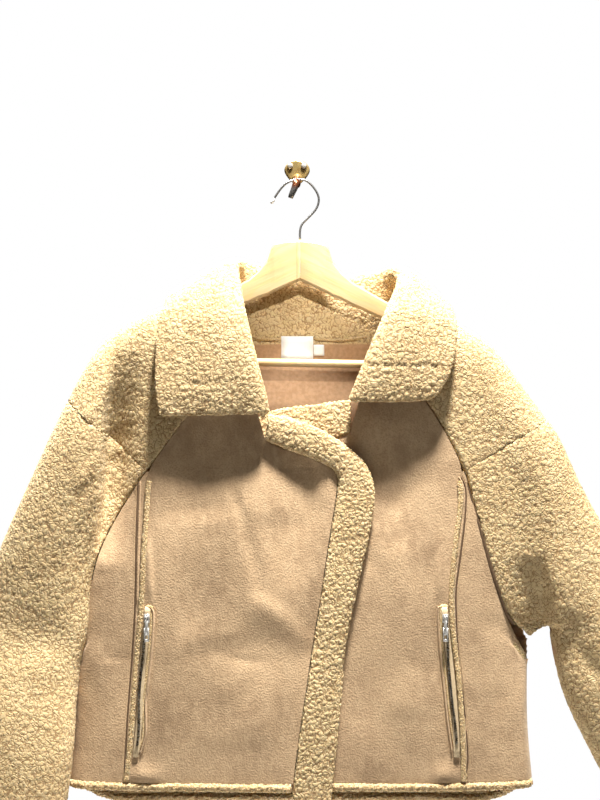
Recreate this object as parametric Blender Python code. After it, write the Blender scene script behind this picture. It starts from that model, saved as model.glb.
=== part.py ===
"""A cropped fleece jacket with suede-look fronts, hung on a wooden hanger from a small wall hook.

Blender 4.5, metres, +Z up. The jacket's front faces -Y and its back hangs next to the wall at Y = 0.
The origin is the middle of the wall plate's back face. Tables are in millimetres from the
hanger's centre line, and PLACE moves them to the origin.
"""

import math

import bmesh
import bpy
import numpy as np

MM = 0.001
PLACE = (3.5, 0.0, -10.0)

# Cloth, in millimetres
SUEDE_WALL = 3.0
PILE_WALL = 6.0
SEAM_GAP = 0.32
SLEEVE_GAP = 1.3
UNDERARM_EASE = (3.0, 2.5, 0.6)
BODY_MIDDLE_Y = -40.0
BODY_SQUARENESS = 3.2
SLEEVE_SQUARENESS = 2.6
LAP_LIFT = 5.0
UNDER_DROP = 4.0
NECK_LEVEL = -195
SLEEVE_SEAM_LEVEL = -345
UNDERARM_LEVEL = -564
BACK_HEM_DROP = 24.0
BACK_HEM_RISE_LEFT = (-268, -220)
BACK_HEM_RISE_RIGHT = (222, 270)
HEM_RADIUS = 5.8
HEM_BELOW = 1.1
BAND_GAP = 0.5
TRIM_LIFT = 0.6

# Hanger and hook, in millimetres
HANGER_Y = -40.0
HANGER_THICKNESS = 14.0
HANGER_TILT = 0.0175
BAR_RADIUS = 4.8
BAR_HALF_LENGTH = 199.8
BAR_Z = -220.0
WIRE_RADIUS = 1.4
PLATE_THICKNESS = 4.0
# Across and above the plate's middle, then (front face, radius) of a screw head's steps
SCREW_PLACE = (8.2, 5.5)
SCREW_SECTION = ((-4.3, 3.6), (-5.2, 3.6), (-6.2, 2.16))

# One row for each height of the body: height, left side edge, left princess or raglan seam,
# left front's inner band line or neckline, then the same three on the right, nearest first
LEVELS = [
    (-702, -268, -204, -8, 26, 192, 270),
    (-643, -264, -197, -1, 19, 191, 264),
    (-594, -262, -194, 7, 11, 187, 264),
    (-564, -259, -192, 11, 7, 184, 264),
    (-537, -250, -189, 15, 3, 180, 249),
    (-491, -243, -185, 23, -5, 176, 227),
    (-441, -234, -183, 30, -11, 180, 213),
    (-398, -212, -180, 37, -18, 186, 203),
    (-374, -196, -179, 41, -24, 189, 196),
    (-355, -184, -177, 43, -26, 187, 192),
    (-345, -176, -173, 40, -25, 185, 188),
    (-337, None, -170, 30, -22, 184, None),
    (-326, None, -162, 1, -3, 180, None),
    (-317, None, -155, -25, 18, 175, None),
    (-309, None, -150, -40, 43, 171, None),
    (-301, None, -144, -42, 58, 167, None),
    (-286, None, -132, -46, 61, 158, None),
    (-269, None, -120, -51, 66, 147, None),
    (-246, None, -104, -58, 73, 131, None),
    (-223, None, -88, -64, 80, 114, None),
    (-195, None, -74, -68, 90, 97, None),
]

# Ring of the body: height, leftmost, rightmost, depth of the front and of the back from the middle
BODY_RINGS = [
    (-730, -269, 271, 26, 26),
    (-702, -268, 270, 27, 27),
    (-643, -264, 264, 30, 29),
    (-594, -262, 264, 31, 30),
    (-564, -259, 264, 31, 30),
    (-537, -258, 264, 32, 30),
    (-441, -258, 264, 33, 29),
    (-345, -250, 255, 31, 27),
    (-269, -245, 250, 28, 25),
    (-195, -240, 245, 25, 23),
]

# Soft folds of the fronts: start, end, half width and height in mm (a trough is negative)
FRONT_FOLDS = [
    (-66, -388, -48, -495, 22, 4.0),
    (-112, -505, 5, -535, 20, -4.5),
    (-92, -545, -40, -560, 16, -3.0),
    (-150, -440, -135, -640, 26, 3.0),
    (118, -430, 112, -660, 26, 3.0),
    (150, -560, 60, -600, 22, -2.5),
    (-235, -560, -200, -575, 18, -3.0),
]

# Outer line of each front band: across and up, one row for each level from the band's end down
LAP_BAND_OUTER = [
    (-36, -279), (-15, -281), (12, -289), (43, -306), (64, -323), (79, -339), (88, -365), (84, -396),
    (75, -439), (63, -489), (54, -535), (50, -561), (49, -591), (45, -639), (38, -698),
]
UNDER_BAND_OUTER = [
    (58, -262), (38, -264), (14, -268), (-15, -270), (-43, -277), (-59, -292), (-68, -314), (-71, -354),
    (-67, -398), (-59, -441), (-50, -491), (-39, -537), (-34, -564), (-32, -594), (-27, -643), (-21, -702),
]
LAP_BAND_END = ((-10, -729), (36, -729))
# Round each band's section: place across the band, height over the panel
LAP_SECTION = [
    (0, 0.4), (0.07, 3.6), (0.3, 5.4), (0.7, 6), (0.93, 4.6),
    (1, 1.4), (0.97, -2.2), (0.7, -3), (0.3, -3), (0, -3),
]
UNDER_SECTION = [
    (0, 0.2), (0.08, 1.2), (0.5, 1.8), (0.92, 1.2), (1, 0), (0.98, -4), (0.5, -5), (0, -5),
]

# Shoulder line and sleeve outer line, one row for each level from the neck down to the underarm
LEFT_SHOULDER = [
    (-84, -127), (-103, -132), (-122, -139), (-143, -147), (-162, -155), (-182, -162),
    (-201, -172), (-218, -183), (-234, -199), (-252, -229), (-269, -262),
    (-276, -276), (-288, -300), (-300, -327), (-320, -371), (-341, -416), (-360, -463), (-374, -507),
]
RIGHT_SHOULDER = [
    (118, -138), (135, -146), (151, -155), (167, -164), (183, -173), (200, -182),
    (215, -192), (230, -206), (247, -232), (267, -258), (287, -285),
    (292, -291), (299, -301), (307, -316), (321, -349), (335, -377), (348, -399), (361, -423),
]

# Closed sleeve sections below the underarm: inner edge, outer edge, middle depth
LEFT_SLEEVE = [
    (-262, -594, -383, -548, -54),
    (-262, -640, -393, -605, -66),
    (-265, -695, -401, -663, -68),
    (-268, -751, -407, -723, -68),
    (-271, -799, -412, -778, -64),
]
RIGHT_SLEEVE = [
    (286, -535, 383, -473, -42),
    (288, -576, 405, -518, -44),
    (314, -631, 434, -572, -46),
    (343, -686, 461, -627, -46),
    (370, -741, 490, -682, -46),
    (398, -795, 518, -736, -46),
]

# Fold down the front of the left sleeve: row, place across the section from 0 to 1, height
LEFT_RIDGE = [
    (6, 0.86, 0), (7, 0.8, 8), (8, 0.71, 16), (10, 0.55, 22), (12, 0.36, 24), (15, 0.1, 20), (18, 0.0, 8),
]
RIGHT_RIDGE = [(6, 0.9, 0), (10, 0.6, 6), (15, 0.45, 8), (20, 0.4, 6)]

SLEEVE_DEPTH = 28.0
FRONT_STEPS = (0, 0.03, 0.1, 0.2, 0.32, 0.45, 0.58, 0.7, 0.82, 0.93, 0.985, 1)
BACK_STEPS = (0.985, 0.93, 0.8, 0.5, 0.2, 0.05, 0)

# Collar: place along it from the left end to the right, its roll, and its free edge
COLLAR = [
    (0.00, (-37, -85, -276), (-159, -83, -279)),
    (0.05, (-40, -88, -258), (-164, -83, -262)),
    (0.10, (-46, -90, -236), (-165, -81, -240)),
    (0.15, (-54, -90, -206), (-165, -77, -210)),
    (0.20, (-62, -86, -172), (-163, -72, -181)),
    (0.24, (-70, -70, -132), (-157, -62, -158)),
    (0.28, (-74, -50, -105), (-151, -40, -141)),
    (0.32, (-70, -36, -101), (-147, -12, -156)),
    (0.36, (-62, -24, -101), (-125, -7, -195)),
    (0.43, (-30, -15, -110), (-60, -6, -232)),
    (0.50, (10, -13, -115), (5, -6, -240)),
    (0.57, (50, -14, -118), (65, -6, -232)),
    (0.64, (95, -24, -112), (140, -6, -195)),
    (0.68, (109, -36, -110), (162, -12, -166)),
    (0.72, (118, -48, -113), (168, -40, -150)),
    (0.76, (112, -68, -135), (176, -62, -162)),
    (0.80, (98, -86, -166), (180, -72, -182)),
    (0.87, (82, -90, -205), (177, -78, -212)),
    (0.93, (68, -90, -238), (168, -82, -242)),
    (1.00, (57, -86, -264), (151, -83, -264)),
]
COLLAR_WALL = 6.0
COLLAR_START = 1.6
ROLL_HANDLE = 9.0

# Hanger arm: distance from the middle, top and underside
ARM_SECTIONS = [
    (0.15, -77, -124), (16, -78, -131), (29, -81, -137), (33, -86, -139), (38, -102, -142),
    (47, -113, -145), (59, -124, -151), (82, -137, -161), (106, -150, -172), (128, -162, -182),
    (151, -174, -192), (192, -197, -209), (200.3, -202, -212), (201.4, -202, -230), (219, -212, -233),
]
# How far each arm curves up under the yoke it carries, and the stretch where it does so
ARM_RISE = {-1: 3.1, 1: 10.5}
ARM_RISE_SPAN = {-1: (62, 98), 1: (104, 158)}
WIRE_ROUTE = [
    (-32.6, -32.5), (-26.8, -23.1), (-18.6, -12.7), (-10.5, -8.0), (-3.5, -6.3), (4, -6.4),
    (11.6, -10.8), (19.0, -20.0), (22.1, -30.0), (18.6, -41.0), (9.3, -51.1), (2.3, -58.5),
    (0.0, -66.0), (0.0, -76.6),
]
PRONG_ROUTE = [
    (0, -3.8, -8, 5.2), (0, -14, -15, 4.9), (0, -28, -20.6, 4.2), (0, -40, -22.0, 3.8),
    (0, -47.5, -20.2, 4.2),
    (-1, -52.5, -23, 4.3), (-3, -54.5, -29, 3.9), (-6, -54, -35.5, 3.5), (-7.6, -53, -39.5, 3.0),
]

# Pocket zips: seam side, level of the top and foot, distance from the princess seam
ZIP_TOP = -499
ZIP_FOOT = -672
ZIP_FROM_SEAM = 8.6
ZIP_WIDTH = 7.0
ZIP_THICKNESS = 1.6
# The fleece trim that runs down between the princess seam and the zip
TRIM_FROM_SEAM = 0.6
TRIM_WIDTH = 7.4
TRIM_THICKNESS = 2.6
# Slider: its middle's level, its steps across and up, and how far its body and cheeks stand out
SLIDER_LEVEL = -512
SLIDER_CLEAR = 0.35
SLIDER_ACROSS = (-3.2, -2.0, -0.8, 0.8, 2.0, 3.2)
SLIDER_HEIGHTS = (-5.0, 0.6, 3.4, 5.0)
SLIDER_THICKNESS = 2.4
CHEEK_OUT = 4.6
# How far the pull tab's axis stands out of the slider and above its middle, then the tab's steps
# across and its heights below that axis: its foot, its hole's foot and top, its shoulder, its
# eye's foot and its top
TAB_AXIS_OUT = 1.0
TAB_AXIS_UP = 2.0
TAB_ACROSS = (-2.9, -1.7, -0.5, 0.5, 1.7, 2.9)
TAB_THICKNESS = 1.0
TAB_LEVELS = (-28.0, -25.6, -20.8, -12.5, -3.0, 0.5)


def material(name, colour, roughness, metallic=0.0):
    made = bpy.data.materials.new(name)
    made.use_nodes = True
    shader = made.node_tree.nodes["Principled BSDF"]
    shader.inputs["Base Color"].default_value = (*colour, 1.0)
    shader.inputs["Roughness"].default_value = roughness
    shader.inputs["Metallic"].default_value = metallic
    return made


def add_object(name, points, faces, look, moved=PLACE):
    """A closed mesh from points in millimetres, with its faces turned outwards."""
    mesh = bpy.data.meshes.new(name)
    places = [tuple((c + m) * MM for c, m in zip(point, moved)) for point in points]
    mesh.from_pydata(places, [], faces)
    shape = bmesh.new()
    shape.from_mesh(mesh)
    bmesh.ops.recalc_face_normals(shape, faces=shape.faces)
    if shape.calc_volume(signed=True) < 0:
        bmesh.ops.reverse_faces(shape, faces=shape.faces)
    shape.to_mesh(mesh)
    shape.free()
    mesh.shade_smooth()
    mesh.set_sharp_from_angle(angle=math.radians(50))
    mesh.materials.append(look)
    made = bpy.data.objects.new(name, mesh)
    bpy.context.scene.collection.objects.link(made)
    return made


def smooth(value, start, end):
    t = min(1.0, max(0.0, (value - start) / (end - start)))
    return t * t * (3 - 2 * t)


def unit(vector):
    return vector / max(np.linalg.norm(vector), 1e-9)


def between(rows, key, column):
    """A table's column at a key between its rows, on a smooth curve."""
    rows = sorted(rows)
    keys = [row[0] for row in rows]
    key = min(max(key, keys[0]), keys[-1])
    i = min(max(int(np.searchsorted(keys, key, side="right")) - 1, 0), len(rows) - 2)
    t = (key - keys[i]) / (keys[i + 1] - keys[i])
    around = (max(i - 1, 0), i, i + 1, min(i + 2, len(rows) - 1))
    values = [np.asarray(rows[j][column], float) for j in around]
    places = [keys[j] for j in around]
    span = places[2] - places[1]
    slope_in = (values[2] - values[0]) / (places[2] - places[0])
    slope_out = (values[3] - values[1]) / (places[3] - places[1])
    return (
        (2 * t**3 - 3 * t**2 + 1) * values[1]
        + (t**3 - 2 * t**2 + t) * span * slope_in
        + (-2 * t**3 + 3 * t**2) * values[2]
        + (t**3 - t**2) * span * slope_out
    )


# The body is one flattened ring at each height


def ring_at(z):
    left, right, front, back = (float(between(BODY_RINGS, z, column)) for column in (1, 2, 3, 4))
    return (left + right) / 2, (right - left) / 2, front, back


def ring_angle(x, z):
    middle, half, _, _ = ring_at(z)
    share = min(1.0, max(-1.0, (x - middle) / half))
    return math.copysign(math.asin(abs(share) ** (BODY_SQUARENESS / 2)), share)


def fold_height(x, z):
    total = 0.0
    for x0, z0, x1, z1, width, height in FRONT_FOLDS:
        along = np.array([x1 - x0, z1 - z0], float)
        length = np.linalg.norm(along)
        to_point = np.array([x - x0, z - z0])
        t = min(1.0, max(0.0, float(to_point @ along) / length**2))
        away = np.linalg.norm(to_point - t * along)
        total += height * math.exp(-((away / width) ** 2))
    return total


def body_point(angle, z, layer):
    """A point on the body's outer face. The layer is lap, under, side or back."""
    middle, half, front, back = ring_at(z)
    power = 2 / BODY_SQUARENESS
    x = middle + math.copysign(half * abs(math.sin(angle)) ** power, angle)
    depth = max(0.0, math.cos(angle)) ** power
    if layer == "back":
        return np.array([x, BODY_MIDDLE_Y + back * depth, z])
    y = BODY_MIDDLE_Y - front * depth - fold_height(x, z) * depth**2
    if layer == "lap":
        y -= LAP_LIFT * smooth(x, -120, -20)
    if layer == "under":
        y += UNDER_DROP * (1 - smooth(x, 20, 88))
    return np.array([x, y, z])


def body_at(x, z, layer):
    return body_point(ring_angle(x, z), z, layer)


def body_normal(angle, z, layer):
    step = 0.004
    limit = math.pi / 2
    low, high = max(angle - step, -limit), min(angle + step, limit)
    across = body_point(high, z, layer) - body_point(low, z, layer)
    up = body_point(angle, z + 1, layer) - body_point(angle, z - 1, layer)
    facing = unit(np.cross(across, up))
    return -facing if layer == "back" else facing


def seam_normal(x, z, layer):
    """Shared by the body and the arm along the armhole, turning down towards the underarm."""
    middle, half, _, _ = ring_at(z)
    share = min(1.0, abs((x - middle) / half))
    depth = (1 - share**BODY_SQUARENESS) ** (1 / BODY_SQUARENESS)
    return unit(np.array([0.0, depth if layer == "back" else -depth, depth - 1.0]))


def inset(points, normals, edges, gap=SEAM_GAP):
    """Draws a grid's named edges in by half of a gap, along its own surface."""
    moved = points.copy()
    rows, columns = points.shape[:2]
    lines = {
        "first_row": [((0, c), (1, c)) for c in range(columns)],
        "last_row": [((rows - 1, c), (rows - 2, c)) for c in range(columns)],
        "first_column": [((r, 0), (r, 1)) for r in range(rows)],
        "last_column": [((r, columns - 1), (r, columns - 2)) for r in range(rows)],
    }
    for edge in edges:
        line = lines[edge]
        for i, (place, inner) in enumerate(line):
            tangent = unit(points[line[min(i + 1, len(line) - 1)][0]] - points[line[max(i - 1, 0)][0]])
            inward = unit(np.cross(normals[place], tangent))
            if inward @ (points[inner] - points[place]) < 0:
                inward = -inward
            moved[place] += inward * gap / 2
    return moved


def grid_faces(rows, columns, index):
    return [
        (index(r, c), index(r, c + 1), index(r + 1, c + 1), index(r + 1, c))
        for r in range(rows - 1)
        for c in range(columns - 1)
    ]


def wall(name, points, normals, thickness, look, closed_from=None, centred=False):
    """A grid given a thickness. From the row closed_from on, its first and last columns are one."""
    rows, columns = points.shape[:2]
    closed_from = rows if closed_from is None else closed_from
    numbers = {}
    for r in range(rows):
        for c in range(columns):
            joined = r >= closed_from and c == columns - 1
            numbers[r, c] = numbers[r, 0] if joined else len(set(numbers.values()))
    count = len(set(numbers.values()))
    outer, inner = [None] * count, [None] * count
    out_by = thickness / 2 if centred else 0.0
    for (r, c), number in numbers.items():
        outer[number] = points[r, c] + normals[r, c] * out_by
        inner[number] = points[r, c] - normals[r, c] * (thickness - out_by)
    faces = grid_faces(rows, columns, lambda r, c: numbers[r, c])
    faces = [tuple(dict.fromkeys(face)) for face in faces]
    edge_uses = {}
    for face in faces:
        for a, b in zip(face, face[1:] + face[:1]):
            edge_uses.setdefault(frozenset((a, b)), []).append((a, b))
    rims = [uses[0] for uses in edge_uses.values() if len(uses) == 1]
    back = [tuple(count + n for n in reversed(face)) for face in faces]
    sides = [(b, a, count + a, count + b) for a, b in rims]
    return add_object(name, outer + inner, faces + back + sides, look)


def grid_normals(points, outward):
    """Normals of a grid, turned to the side that outward points to at its middle."""
    rows, columns = points.shape[:2]
    normals = np.zeros_like(points)
    for r in range(rows):
        for c in range(columns):
            across = points[r, min(c + 1, columns - 1)] - points[r, max(c - 1, 0)]
            down = points[min(r + 1, rows - 1), c] - points[max(r - 1, 0), c]
            normals[r, c] = unit(np.cross(across, down))
    middle = (rows // 2, columns // 2)
    return normals if normals[middle] @ np.asarray(outward, float) > 0 else -normals


def tube(name, points, radii, sides, look, moved=PLACE):
    """A round rod along a line of points, with flat ends."""
    points = [np.asarray(point, float) for point in points]
    last = len(points) - 1
    tangents = [unit(points[min(i + 1, last)] - points[max(i - 1, 0)]) for i in range(last + 1)]
    side = unit(np.cross(tangents[0], (0.31, 0.2, 0.93)))
    rings = []
    for point, tangent, radius in zip(points, tangents, radii):
        side = unit(side - tangent * (side @ tangent))
        other = np.cross(tangent, side)
        turns = [2 * math.pi * k / sides for k in range(sides)]
        rings.append([point + radius * (math.cos(a) * side + math.sin(a) * other) for a in turns])
    return loft(name, rings, look, moved)


def loft(name, rings, look, moved=PLACE):
    """A solid through closed rings of as many points each, with flat ends."""
    sides = len(rings[0])
    faces = []
    for start in range(0, (len(rings) - 1) * sides, sides):
        for k in range(sides):
            after = (k + 1) % sides
            faces.append((start + k, start + after, start + sides + after, start + sides + k))
    faces.append(tuple(range(sides)))
    faces.append(tuple((len(rings) - 1) * sides + k for k in reversed(range(sides))))
    return add_object(name, [point for ring in rings for point in ring], faces, look, moved)


def curve_through(points, steps):
    """Points on a smooth curve through the given ones."""
    rows = [(i, tuple(point)) for i, point in enumerate(points)]
    return [between(rows, (len(points) - 1) * k / steps, 1) for k in range(steps + 1)]


def blocks(name, breaks, filled, look):
    """A solid of box cells, given the breaks along X, Y and Z and the cells that are filled."""
    xs, ys, zs = breaks
    numbers, points, faces = {}, [], []

    def corner(i, j, k):
        if (i, j, k) not in numbers:
            numbers[i, j, k] = len(points)
            points.append((xs[i], ys[j], zs[k]))
        return numbers[i, j, k]

    for i, j, k in filled:
        for axis in range(3):
            for side in (0, 1):
                beside = [i, j, k]
                beside[axis] += 2 * side - 1
                if tuple(beside) in filled:
                    continue
                ring = []
                for a, b in ((0, 0), (0, 1), (1, 1), (1, 0)):
                    place = [i, j, k]
                    place[axis] += side
                    place[(axis + 1) % 3] += a
                    place[(axis + 2) % 3] += b
                    ring.append(corner(*place))
                faces.append(tuple(ring))
    return add_object(name, points, faces, look, (0, 0, 0))


def body_panel(name, rows, layer, columns, edges, look, thickness, armhole=()):
    """A panel between two lines, each row a height, a start and an end on the body's ring."""
    points = np.zeros((len(rows), columns, 3))
    normals = np.zeros_like(points)
    for r, (z, start, end) in enumerate(rows):
        first, last = ring_angle(start, z), ring_angle(end, z)
        for c in range(columns):
            angle = first + (last - first) * c / (columns - 1)
            points[r, c] = body_point(angle, z, layer)
            normals[r, c] = body_normal(angle, z, layer)
        if "first" in armhole and z >= UNDERARM_LEVEL:
            normals[r, 0] = seam_normal(start, z, layer)
        if "last" in armhole and z >= UNDERARM_LEVEL:
            normals[r, -1] = seam_normal(end, z, layer)
    if layer == "back":
        for c in range(columns):
            x = points[0, c, 0]
            share = smooth(x, *BACK_HEM_RISE_LEFT) * (1 - smooth(x, *BACK_HEM_RISE_RIGHT))
            points[0, c] = body_at(x, rows[0][0] - BACK_HEM_DROP * share, layer)
    moved = inset(points, normals, edges)
    wall(name, moved, normals, thickness, look)
    return points, normals


for old in list(bpy.data.objects):
    bpy.data.objects.remove(old, do_unlink=True)

pile = material("pile_fleece", (0.72, 0.58, 0.38), 0.95)
suede = material("suede_cloth", (0.62, 0.42, 0.24), 0.85)
wood = material("pale_wood", (0.85, 0.66, 0.36), 0.5)
steel = material("wire_steel", (0.45, 0.45, 0.44), 0.35, 1.0)
brass = material("hook_brass", (0.45, 0.3, 0.1), 0.3, 1.0)
silver = material("zip_metal", (0.75, 0.75, 0.76), 0.3, 1.0)
tape = material("zip_tape", (0.75, 0.6, 0.42), 0.8)
white = material("label_cloth", (0.9, 0.9, 0.9), 0.8)

# Front, side and back panels

left_front_rows = [(row[0], row[2], row[3]) for row in LEVELS]
right_front_rows = [(row[0], row[5], row[4]) for row in LEVELS]
left_side_rows = [(row[0], row[1], row[2]) for row in LEVELS if row[1] is not None]
right_side_rows = [(row[0], row[6], row[5]) for row in LEVELS if row[6] is not None]
back_rows = [
    (row[0], row[2] if row[1] is None else row[1], row[5] if row[6] is None else row[6]) for row in LEVELS
]
seam_edges = ("first_column", "last_column", "last_row")
left_front, left_front_normals = body_panel(
    "front_panel_right", left_front_rows, "lap", 9, seam_edges, suede, SUEDE_WALL
)
right_front, right_front_normals = body_panel(
    "front_panel_left", right_front_rows, "under", 9, seam_edges, suede, SUEDE_WALL
)
left_side, left_side_normals = body_panel(
    "side_panel_right", left_side_rows, "side", 5, seam_edges, suede, SUEDE_WALL, ("first",)
)
right_side, right_side_normals = body_panel(
    "side_panel_left", right_side_rows, "side", 5, seam_edges, suede, SUEDE_WALL, ("first",)
)
back, back_normals = body_panel(
    "back_panel", back_rows, "back", 17, seam_edges, pile, PILE_WALL, ("first", "last")
)

# Arms: the shoulder yoke and the sleeve are cut from one run of sections


def arm_sections(seam_x, outer_line, sleeve_rows, ridge_rows):
    """Points of the arm from the neck to the cuff, and the row where its sections close."""
    levels = [row[0] for row in reversed(LEVELS) if row[0] >= UNDERARM_LEVEL]
    steps = [("front", q) for q in FRONT_STEPS] + [("back", q) for q in BACK_STEPS]
    rows = []
    for i, level in enumerate(levels):
        outer_x, outer_z = outer_line[i]
        x = seam_x[level]
        front, rear = body_at(x, level, "side"), body_at(x, level, "back")
        rows.append((x, level, outer_x, outer_z, BODY_MIDDLE_Y, BODY_MIDDLE_Y, front[1], rear[1], i))
    for i, (x, z, outer_x, outer_z, middle) in enumerate(sleeve_rows):
        rows.append((x, z, outer_x, outer_z, middle, middle, middle, middle, len(levels) + i))
    grid = np.zeros((len(rows), len(steps), 3))
    power = SLEEVE_SQUARENESS
    for r, (x, z, outer_x, outer_z, inner_y, outer_y, front_y, rear_y, row) in enumerate(rows):
        ridge_at, ridge_height = (float(between(ridge_rows, row, column)) for column in (1, 2))
        for c, (face, q) in enumerate(steps):
            middle_y = inner_y + (outer_y - inner_y) * q
            edge_depth = abs((front_y if face == "front" else rear_y) - inner_y)
            inner_end = max(0.0, 1 - 2 * q)
            outer_end = max(0.0, 2 * q - 1)
            swell = (1 - inner_end**power) ** (1 / power)
            close = (1 - outer_end**power) ** (1 / power)
            depth = (edge_depth + (SLEEVE_DEPTH - edge_depth) * swell) * close
            sign = -1 if face == "front" else 1
            y = middle_y + sign * depth
            if face == "front":
                y -= max(0.0, ridge_height) * smooth(q, ridge_at - 0.1, ridge_at + 0.1) * close * swell
            grid[r, c] = (x + (outer_x - x) * q, y, z + (outer_z - z) * q)
    return grid, len(levels) - 1


def make_arm(side, seam_x, outer_line, sleeve_rows, ridge_rows):
    grid, closed_row = arm_sections(seam_x, outer_line, sleeve_rows, ridge_rows)
    normals = grid_normals(grid, (0, -1, 0))
    columns = grid.shape[1]
    apex = FRONT_STEPS.index(1)
    if normals[closed_row + 2, apex] @ (grid[closed_row + 2, apex] - grid[closed_row + 2, 0]) < 0:
        normals = -normals
    for r in range(grid.shape[0]):
        if r <= closed_row:
            x, _, z = grid[r, 0]
            normals[r, 0] = seam_normal(x, z, "side")
            normals[r, -1] = seam_normal(x, z, "back")
        else:
            around = unit(grid[r, 1] - grid[r, columns - 2])
            along = unit(grid[min(r + 1, len(grid) - 1), 0] - grid[r - 1, 0])
            facing = unit(np.cross(around, along))
            facing = facing if facing @ (grid[r, 0] - grid[r, apex]) > 0 else -facing
            normals[r, 0] = normals[r, -1] = facing
    split = [row[0] for row in reversed(LEVELS)].index(SLEEVE_SEAM_LEVEL)
    yoke, yoke_normals = grid[: split + 1], normals[: split + 1]
    moved = inset(yoke, yoke_normals, ("first_column", "last_column"))
    moved = inset(moved, yoke_normals, ("first_row", "last_row"), SLEEVE_GAP)
    wall(f"shoulder_{side}", moved, yoke_normals, PILE_WALL, pile)
    sleeve, sleeve_normals = grid[split:].copy(), normals[split:]
    closed = closed_row - split
    moved = inset(sleeve, sleeve_normals, ("first_column", "last_column"))
    moved = inset(moved, sleeve_normals, ("first_row",), SLEEVE_GAP)
    moved[closed:, 0] = moved[closed:, -1] = sleeve[closed:, 0]
    for rows_up, extra in enumerate(UNDERARM_EASE):
        row = closed - rows_up
        away = unit(sleeve[row, apex] - sleeve[row, 0]) * extra
        moved[row, (0, -1),] += away
    wall(f"sleeve_{side}", moved, sleeve_normals, PILE_WALL, pile, closed_from=closed)
    return yoke[0], yoke_normals[0]


left_seam = {row[0]: row[2] if row[1] is None else row[1] for row in LEVELS}
right_seam = {row[0]: row[5] if row[6] is None else row[6] for row in LEVELS}
left_neck, left_neck_normals = make_arm("right", left_seam, LEFT_SHOULDER, LEFT_SLEEVE, LEFT_RIDGE)
right_neck, right_neck_normals = make_arm("left", right_seam, RIGHT_SHOULDER, RIGHT_SLEEVE, RIGHT_RIDGE)

# Collar: stand, roll and fall, sewn along the neckline


def neckline():
    """Points of the neckline from the left front to the right, their normals and places along it."""
    heights = [row[0] for row in LEVELS]
    stations = []
    left_rows = [heights.index(z) for z in (-286, -269, -246, -223, -195)]
    for i, r in enumerate(left_rows):
        stations.append((left_front[r, -1], left_front_normals[r, -1], 0.2 * i / 5))
    count = len(left_neck)
    for c in range(count):
        stations.append((left_neck[c], left_neck_normals[c], 0.2 + 0.16 * c / (count - 1)))
    top, top_normals = back[-1], back_normals[-1]
    for c in range(1, len(top) - 1):
        stations.append((top[c], top_normals[c], 0.36 + 0.28 * c / (len(top) - 1)))
    for c in range(count):
        other = count - 1 - c
        stations.append((right_neck[other], right_neck_normals[other], 0.64 + 0.16 * c / (count - 1)))
    right_rows = [heights.index(z) for z in (-195, -223, -246, -269)]
    for i, r in enumerate(right_rows):
        stations.append((right_front[r, -1], right_front_normals[r, -1], 0.8 + 0.2 * (i + 1) / 4))
    return stations


def bezier(points, t):
    points = [np.asarray(point, float) for point in points]
    while len(points) > 1:
        points = [a + (b - a) * t for a, b in zip(points, points[1:])]
    return points[0]


def collar_sections():
    grid, ends = [], []
    for seam, normal, place in neckline():
        roll = between(COLLAR, place, 1)
        edge = between(COLLAR, place, 2)
        earlier, later = max(place - 0.02, 0), min(place + 0.02, 1)
        along = unit(between(COLLAR, later, 1) - between(COLLAR, earlier, 1))
        start = seam - normal * COLLAR_WALL / 2
        away = roll - (start + edge) / 2
        away = unit(away - along * (away @ along))
        over = unit(np.cross(away, along))
        before, after = roll - over * ROLL_HANDLE, roll + over * ROLL_HANDLE
        start = start + unit(before - start) * COLLAR_START
        stand = [bezier((start, before, roll), t) for t in (0, 0.3, 0.6, 0.85)]
        lift = unit(after - roll) * 5
        handles = (roll, after, (after + edge) / 2 + lift, edge)
        fall = [bezier(handles, t) for t in (0, 0.12, 0.3, 0.55, 0.8, 1)]
        grid.append(stand + fall)
        ends.append(normal)
    grid = np.array(grid)
    normals = grid_normals(grid, (0, 0, 1))
    middle = len(ends) // 2
    if normals[middle, 0] @ ends[middle] < 0:
        normals = -normals
    for r, normal in enumerate(ends):
        normals[r, 0] = normal
    return grid, normals


collar_grid, collar_normals = collar_sections()
wall("collar", collar_grid, collar_normals, COLLAR_WALL, pile, centred=True)

# Front bands

def band(name, inner_line, outer_line, section, layer):
    rings = []
    for (x0, z0), (x1, z1) in zip(inner_line, outer_line):
        across = unit(np.array([x1 - x0, z1 - z0], float)) * BAND_GAP
        x0, z0 = x0 + across[0], z0 + across[1]
        ring = []
        for share, height in section:
            x, z = x0 + (x1 - x0) * share, z0 + (z1 - z0) * share
            point = body_at(x, max(z, -729), layer)
            ring.append((x, point[1] - height, z))
        rings.append(ring)
    return loft(name, rings, pile)


lap_inner = [(row[3], row[0]) for row in reversed(LEVELS) if row[0] <= -309]
under_inner = [(row[4], row[0]) for row in reversed(LEVELS) if row[0] <= -301]
lap_inner.append(LAP_BAND_END[0])
band("front_band_right", lap_inner, LAP_BAND_OUTER + [LAP_BAND_END[1]], LAP_SECTION, "lap")
band("front_band_left", under_inner, UNDER_BAND_OUTER, UNDER_SECTION, "under")

# Hem trim, princess seam trims and pocket zips


def hem_line():
    """Bottom points of the panels, from the left front round the back to the right front."""
    rows = [
        (left_front[0][::-1], left_front_normals[0][::-1]),
        (left_side[0][::-1], left_side_normals[0][::-1]),
        (back[0], back_normals[0]),
        (right_side[0], right_side_normals[0]),
        (right_front[0], right_front_normals[0]),
    ]
    line = []
    for points, normals in rows:
        for point, normal in zip(points, normals):
            if not line or np.linalg.norm(line[-1][0] - point) > 4:
                line.append((point, normal))
    return line


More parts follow.
